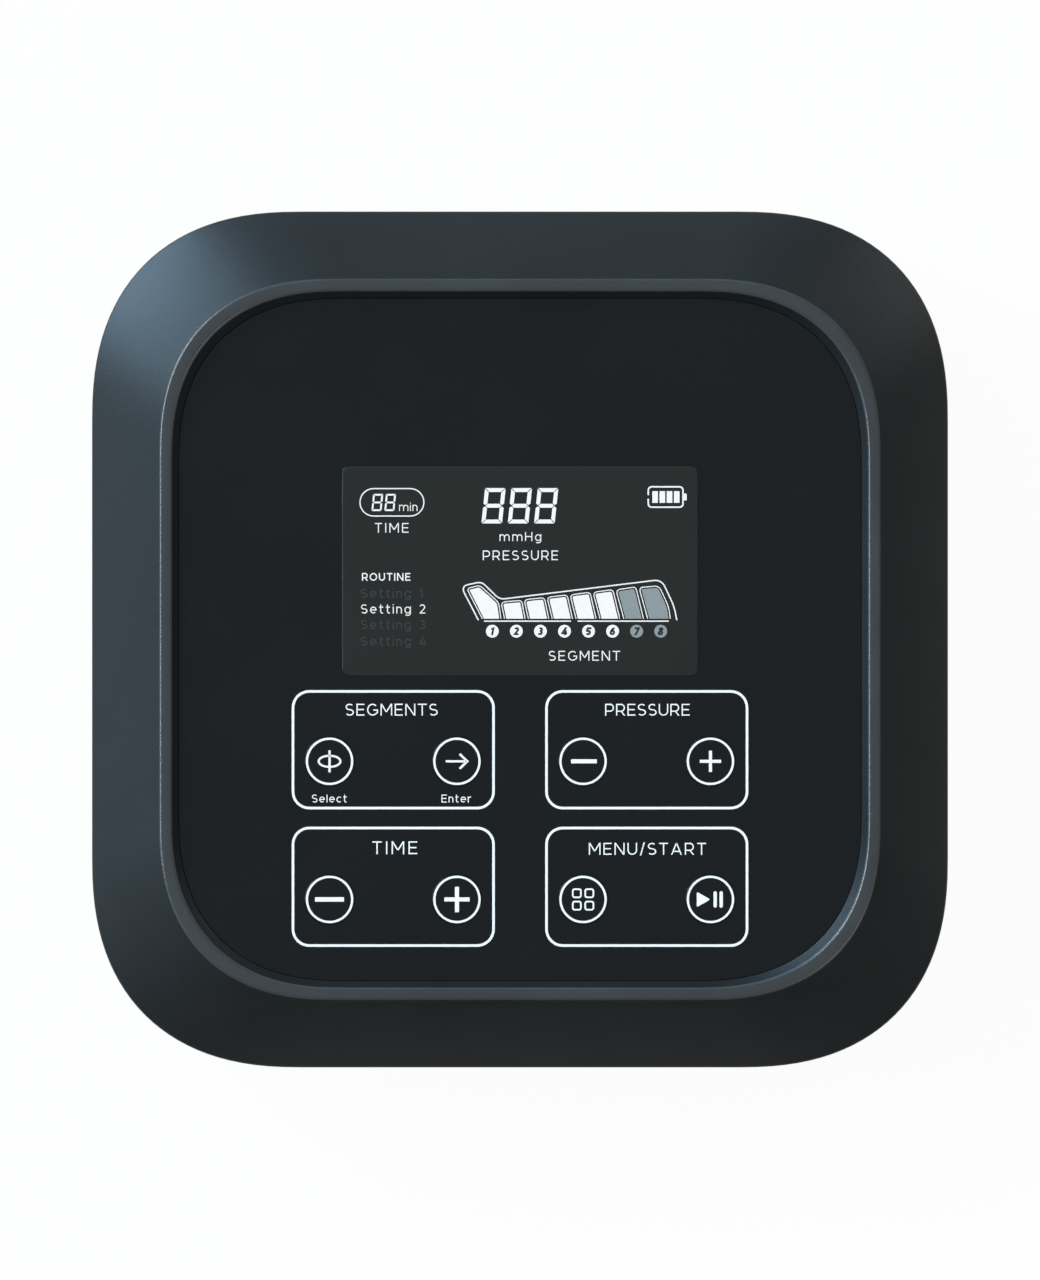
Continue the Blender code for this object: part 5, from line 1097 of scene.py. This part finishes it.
def make_sockets():
    """Two flanged cups and the air bar whose barbed nipples stand in them."""
    line = filleted([
        (SOCKET_WALL, SOCKET_BACK, SOFT_ROUND), (SOCKET_WALL, INNER_HALF, 0),
        (SOCKET_WALL + SOCKET_LAP, INNER_HALF, 0), (SOCKET_WALL + SOCKET_LAP, SOCKET_FRONT, FLANGE_ROUND),
        (0, SOCKET_FRONT, SOFT_ROUND), (0, SOCKET_FLOOR_Y, SOFT_ROUND), (-0.001, SOCKET_FLOOR_Y, 0),
    ], closed=False)
    bore = (NIPPLE_RADIUS + GAP, SOCKET_BACK - OVERRUN, SOCKET_FLOOR_Y + OVERRUN)
    for name, side in (("left", -1), ("right", 1)):
        cup = framed(
            "socket_cup_" + name, SOCKET_WIDTH, SOCKET_HEIGHT, line,
            lambda out: SOCKET_RADIUS + max(out, 0) / 2, (side * SOCKET_X, 0, SOCKET_Z), "Y", BLACK,
        )
        cut(cup, [rod(*bore, at, "Y") for at in nipple_places(side)])
        dress(cup, "case", "black_plastic", "hose_socket_" + name)

    low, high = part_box("air_manifold")
    front = low.y + HOSE_NIPPLE_LENGTH
    rear = SOCKET_BACK - GAP
    tip = SOCKET_FLOOR_Y + NIPPLE_REACH
    outline = rounded_rectangle(high.x - low.x, high.z - low.z, 0.001, steps=3)
    manifold = prism("air_bar", outline, front, rear, (0, 0, (low.z + high.z) / 2), "Y", PALE)
    barbed = [
        (NIPPLE_RADIUS, rear - OVERRUN / 2, 0), (NIPPLE_RADIUS, tip - 0.0050, 0.0002),
        (0.0015, tip - 0.0048, 0.0001), (0.0015, tip - 0.0032, 0), (NIPPLE_RADIUS, tip - 0.0030, 0.0001),
        (0.0014, tip, FINE_ROUND), (NIPPLE_BORE, tip, 0.0001), (NIPPLE_BORE, tip - 0.003, 0),
    ]
    nipples = [(barbed, at) for side in (-1, 1) for at in nipple_places(side)]
    for side, radius in ((-1, 0.0015), (1, 0.002)):
        ends = [(radius - 0.0006, low.y, 0), (radius, low.y, FINE_ROUND), (radius, front + OVERRUN / 2, 0)]
        nipples.append((ends, (side * HOSE_NIPPLE_X, 0, SOCKET_Z)))
    fuse(manifold, [turned("nipple", shape, at, "Y", sides=NIPPLE_SIDES) for shape, at in nipples])
    dress(manifold, "case", "pale_plastic", "air_manifold")


def make_power_inlet():
    """Low-voltage inlet with its pin."""
    at = (-SOCKET_X, INNER_HALF, ROCKER_Z)
    jack = turned("inlet", [
        (0.007, POWER_FLANGE, SOFT_ROUND), (0.007, 0, 0), (POWER_BODY_RADIUS, 0, 0),
        (POWER_BODY_RADIUS, -0.0105, SMALL_ROUND), (0.0013, -0.0105, 0), (0.0013, -0.0085, 0),
        (0.0032, -0.0085, 0), (0.0032, POWER_FLANGE, SMALL_ROUND),
    ], at, "Y", BLACK, bored=True)
    dress(jack, "case", "black_plastic", "power_socket")
    pin = turned("inlet_pin", [
        (0.0018, -0.0120, 0.0002), (0.0018, -0.0108, 0), (0.0010, -0.0108, 0), (0.0010, 0, 0.0008),
        (0.0002, 0, 0),
    ], at, "Y", STEEL, SMALL_SIDES)
    dress(pin, "case", "steel", "power_socket_pin")


ROCKER_HALF = 0.0072
ROCKER_EDGE = 0.0036
ROCKER_VALLEY = 0.0026


def make_rocker_switch():
    """Bezel, the rocker resting at off, and its marks for on and off."""
    at = (SOCKET_X, INNER_HALF, ROCKER_Z)
    floor = ROCKER_FLANGE - ROCKER_DEPTH
    line = filleted([
        (ROCKER_WALL, floor - ROCKER_FLOOR, FINE_ROUND), (ROCKER_WALL, 0, 0),
        (ROCKER_WALL + ROCKER_LAP, 0, 0), (ROCKER_WALL + ROCKER_LAP, ROCKER_FLANGE, FLANGE_ROUND),
        (0, ROCKER_FLANGE, FINE_ROUND), (0, floor, 0),
    ], closed=False)
    bezel = framed(
        "rocker_bezel", ROCKER_WIDTH, ROCKER_HEIGHT, line, lambda out: 0.0003 + out / 4, at, "Y", BLACK, 4
    )
    pivot = Vector(at) + Vector((0, ROCKER_FLANGE - ROCKER_PIVOT_SINK, 0))
    reach = ROCKER_HEIGHT / 2 + 0.0015
    cut(bezel, [rod(ROCKER_PIN_RADIUS + GAP, -reach, reach, pivot)])
    dress(bezel, "case", "black_plastic", "rocker_frame")

    left_half = [(-ROCKER_HALF, ROCKER_EDGE), (-ROCKER_HALF, -0.0006), (-0.0020, -0.0030)]
    right_half = [(-x, y) for x, y in reversed(left_half)]
    profile = filleted([(x, y, SOFT_ROUND) for x, y in left_half + right_half] + [(0, ROCKER_VALLEY, 0.003)])
    half_height = ROCKER_HEIGHT / 2 - GAP
    edge = 0.0002
    inset = beside(profile, edge, True)
    rings = [(inset, -half_height), (profile, edge - half_height)]
    rings += [(outline, -height) for outline, height in reversed(rings)]
    rocker = body("rocker_paddle", rings, pivot, skin=SATIN_BLACK)
    rest = Matrix.Rotation(-math.radians(ROCKER_SWING_DEGREES) / 2, 4, "Z")
    rocker.rotation_euler = rest.to_euler()
    fuse(rocker, [rod(ROCKER_PIN_RADIUS, GAP - reach, reach - GAP, pivot)])
    dress(rocker, "rocker", "black_plastic", "power_rocker")

    tilt = math.atan2(ROCKER_EDGE - ROCKER_VALLEY, ROCKER_HALF)
    on, off = Ink(0), Ink(0)
    on.fill(bar(0.5, 3.0))
    off.line(circle(1.25, 32), 0.45)
    for name, mark, side in (("on", on, -1), ("off", off, 1)):
        rise = ROCKER_VALLEY + MARK_SHARE * (ROCKER_EDGE - ROCKER_VALLEY)
        out = Vector((side * ROCKER_HALF * MARK_SHARE, rise, 0))
        mark.stamp("rocker_mark_" + name, LEGEND, "rocker", (
            Matrix.Translation(pivot) @ rest @ Matrix.Translation(out)
            @ Matrix.Rotation(side * tilt, 4, "Z") @ AXES["Y"].to_4x4()
        ))


# Finishes of the nodes that are shown as they are

def clad(skin, *nodes):
    """Gives nodes of the frame a finish."""
    for name in nodes:
        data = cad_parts[name].data
        data.materials.clear()
        data.materials.append(skin.material)


def board_skin(name, node, bottom):
    """Green solder mask with copper tracks, under dark and silvery components."""
    skin = Skin(name, (0.01, 0.12, 0.05), 0.4)
    tracks = skin.node(
        "TexBrick", skin.space, Scale=110, Mortar_Size=0.035, Brick_Width=1.3, Row_Height=0.28,
        Color1=(0.006, 0.075, 0.030, 1), Color2=(0.010, 0.110, 0.045, 1), Mortar=(0.030, 0.230, 0.090, 1),
    )
    low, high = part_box(node)
    lower, upper = ((place - low.z) / (high.z - low.z) for place in (bottom, bottom + BOARD_THICKNESS))
    under = lower > 0.01
    parts = skin.bands("Z", node, [(0.0, (0.62, 0.60, 0.52))] * under + [
        (lower, (0.03, 0.03, 0.032)), (min(upper + 0.3, 0.9), (0.30, 0.31, 0.32)),
    ])
    laminate = skin.bands("Z", node, [(0.0, (0, 0, 0))] * under + [
        (lower, (1, 1, 1)), (upper + 0.01, (0, 0, 0)),
    ])
    skin.paint(skin.worn(skin.node("MixRGB", laminate, parts, tracks)))
    clad(skin.relief(tracks.node.outputs["Fac"], 0.00003), node)


def finish_inner_units():
    """Boards, battery, pump, valves and hoses inside the case."""
    board_skin("board_main", "main_board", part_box("main_board")[0].z)
    board_skin("board_keys", "key_board", KEY_BOARD_BOTTOM)
    colour = (0.020, 0.024, 0.026)
    clad(Skin("glass_dark", colour, 0.08, coat_weight=0.4).mottle(colour, 0.1, 40, 2), "lcd_glass")
    clad(moulded("backlight_white", (0.72, 0.74, 0.75), 0.5, 1500, 0.00002, 0.03), "lcd_backlight")
    wrap = Skin("battery_film", (0.02, 0.09, 0.28), 0.3, coat_weight=0.3)
    end, film, seam = (0.03, 0.03, 0.03), (0.015, 0.075, 0.25), (0.008, 0.045, 0.16)
    wrap.paint(wrap.worn(wrap.bands("Y", "battery_pack", [
        (0.0, end), (0.04, film), (0.335, seam), (0.345, film), (0.66, seam), (0.67, film), (0.96, end),
    ]), 0.15))
    clad(wrap.relief(wrap.noise(160, 4, (1, 0.3, 1)), 0.00025), "battery_pack")
    clad(metal("strap_steel", (0.50, 0.51, 0.52), 0.36, (0.05, 1, 1)), "battery_clamp")
    clad(STEEL, *("board_screw_" + name for name in CORNERS))
    plain = (0.50, 0.51, 0.52)
    can = metal("motor_steel", plain, 0.28, (0.05, 1, 0.05))
    clad(can.paint(can.worn(can.bands("Y", "pump_motor", [
        (0.0, (0.45, 0.46, 0.47)), (0.09, (0.10, 0.10, 0.10)), (0.10, plain),
        (0.30, (0.42, 0.43, 0.44)), (0.72, plain),
    ]), 0.08)), "pump_motor")
    clad(metal("shaft_steel", (0.56, 0.57, 0.58), 0.2, (1, 0.05, 1)), "pump_rotor")
    clad(moulded("housing_black", (0.016, 0.017, 0.018), 0.5, 1200, 0.00008), "pump_crankcase", "pump_cover")
    clad(BLACK, "air_filter", "buzzer")
    clad(PALE, "pressure_sensor")
    clad(RUBBER, "pump_diaphragm", "saddle_motor", "saddle_crankcase")
    ribbon = Skin("ribbon_grey", (0.35, 0.36, 0.37), 0.45)
    wires = [(index / 16, (0.40, 0.41, 0.42) if index % 2 else (0.20, 0.21, 0.22)) for index in range(16)]
    wires[-1] = (15 / 16, (0.45, 0.03, 0.03))
    clad(ribbon.paint(ribbon.worn(ribbon.bands("X", "display_ribbon", wires), 0.05)), "display_ribbon")
    valve = Skin("valve_unit", (0.02, 0.02, 0.02), 0.4)
    valve.paint(valve.worn(valve.bands("Y", "valve_1", [
        (0.0, (0.36, 0.37, 0.38)), (0.10, (0.55, 0.36, 0.05)), (0.56, (0.36, 0.37, 0.38)),
        (0.64, (0.018, 0.018, 0.019)),
    ]), 0.1, 200))
    valve.relief(valve.noise(1500, 2, (1, 0.04, 1)), 0.00004)
    clad(valve, *("valve_%d" % (index + 1) for index in range(8)))
    colour = (0.58, 0.60, 0.58)
    tube = Skin("tube_silicone", colour, 0.3, subsurface_weight=0.2, subsurface_scale=0.002)
    tube.mottle(colour, 0.05, 70, 3)
    clad(tube.relief(tube.noise(400, 2), 0.00003), "supply_hose", "sense_hose")


# Stage

FLOOR_HALF = 40
FLOOR_DROP = 0.0002
FLOOR_WHITE_SHARE = 0.96


def make_floor():
    """A white floor that keeps a faint shadow."""
    mesh = bmesh.new()
    bmesh.ops.create_grid(mesh, x_segments=1, y_segments=1, size=FLOOR_HALF)
    item = settle(mesh, "floor", None, (0, 0, -FLOOR_DROP))
    material = bpy.data.materials.new("floor_white")
    floor = Tree(material)
    nodes = floor.tree.nodes
    nodes.remove(nodes["Principled BSDF"])
    paper = floor.node("BsdfDiffuse", (0.8, 0.8, 0.8, 1))
    seen = floor.node("MixShader", FLOOR_WHITE_SHARE, paper, floor.node("Emission", Strength=1.0))
    rays = floor.node("LightPath").node.outputs
    shows = rays["Is Camera Ray"]
    for name in ("Is Glossy Ray", "Is Transmission Ray"):
        shows = floor.node("Math", shows, rays[name], operation="MAXIMUM")
    floor.feed(nodes["Material Output"].inputs["Surface"], floor.node("MixShader", shows, paper, seen))
    item.data.materials.append(material)


def direction(azimuth, height):
    """A unit vector by angle from +X and height over the floor, in degrees."""
    around, up = math.radians(azimuth), math.radians(height)
    return Vector((math.cos(around) * math.cos(up), math.sin(around) * math.cos(up), math.sin(up)))


# Brightness of the sky by the sine of its height, and the soft glow at the rear left
SKY = ((0.0, 1.0), (0.03, 1.0), (0.05, 0.12), (0.5, 0.16), (0.86, 0.36), (0.985, 0.10))
GLOW_AT = (148, 12)
GLOW_COLOUR = (0.60, 0.88, 1.15)
GLOW_POWER = 2


def make_world():
    """A studio by direction: white at the horizon, a bluish glow at the rear left, dim overhead."""
    world = bpy.data.worlds.new("studio")
    bpy.context.scene.world = world
    studio = Tree(world)
    space = studio.node("TexCoord", out="Generated")
    height = studio.node("SeparateXYZ", space, out="Z")
    sky = studio.ramp(height, [(place, (level, level, level)) for place, level in SKY])
    facing = studio.node("VectorMath", space, direction(*GLOW_AT), operation="DOT_PRODUCT", out="Value")
    front = studio.node("Math", facing, 0, operation="MAXIMUM")
    spread = studio.node("Math", front, GLOW_POWER, operation="POWER")
    glow = studio.node("VectorMath", GLOW_COLOUR, operation="SCALE", Scale=spread)
    both = studio.node("VectorMath", sky, glow, operation="ADD")
    studio.feed(studio.tree.nodes["Background"].inputs["Color"], both)


LAMP_DISTANCE = 8.0

# Azimuth, height, width, tall side, radiance and colour
LAMPS = {
    "lamp_low": (139, 14, 6.6, 1.8, 20.0, (0.46, 0.74, 1.0)),
    "lamp_side": (40, 14, 5.4, 1.8, 2.4, (1, 1, 1)),
    "lamp_key": (158, 55, 4.5, 1.4, 20.0, (0.90, 0.97, 1.0)),
    "lamp_fill": (-40, 60, 3.0, 3.0, 1.8, (1, 1, 1)),
}


def lamp(name, azimuth, height, width, tall, radiance, colour):
    """A soft lamp of a radiance, far from the object and facing it."""
    light = bpy.data.lights.new(name, "AREA")
    light.shape = "RECTANGLE"
    light.size = width
    light.size_y = tall
    light.energy = radiance * math.pi * width * tall
    light.color = colour
    item = bpy.data.objects.new(name, light)
    item.location = direction(azimuth, height) * LAMP_DISTANCE
    item.rotation_euler = (-item.location).to_track_quat("-Z", "Y").to_euler()
    bpy.context.scene.collection.objects.link(item)


SENSOR_WIDTH = 36
VIEW_DISTANCE = 5.0
VIEW_HEIGHT = 0.29906
VIEW_PLANE = 0.0755
VIEW_SHIFT = 0.00012


def make_camera():
    """Straight above the control face, with the rear edge up in the picture."""
    view = bpy.data.cameras.new("camera")
    view.sensor_width = SENSOR_WIDTH
    view.lens = SENSOR_WIDTH * VIEW_DISTANCE / VIEW_HEIGHT
    view.clip_start = 0.1
    view.clip_end = 60
    item = bpy.data.objects.new("camera", view)
    item.location = (0, -VIEW_SHIFT, VIEW_PLANE + VIEW_DISTANCE)
    bpy.context.scene.collection.objects.link(item)
    bpy.context.scene.camera = item


make_camera()
make_world()
make_floor()
for name, values in LAMPS.items():
    lamp(name, *values)
make_top_cover()
make_bottom_cover()
make_case_hardware()
make_control_face()
print_panel()
print_keys()
light_display()
make_rear_panel()
make_sockets()
make_power_inlet()
make_rocker_switch()
finish_inner_units()
bpy.context.scene.view_settings.view_transform = "Standard"
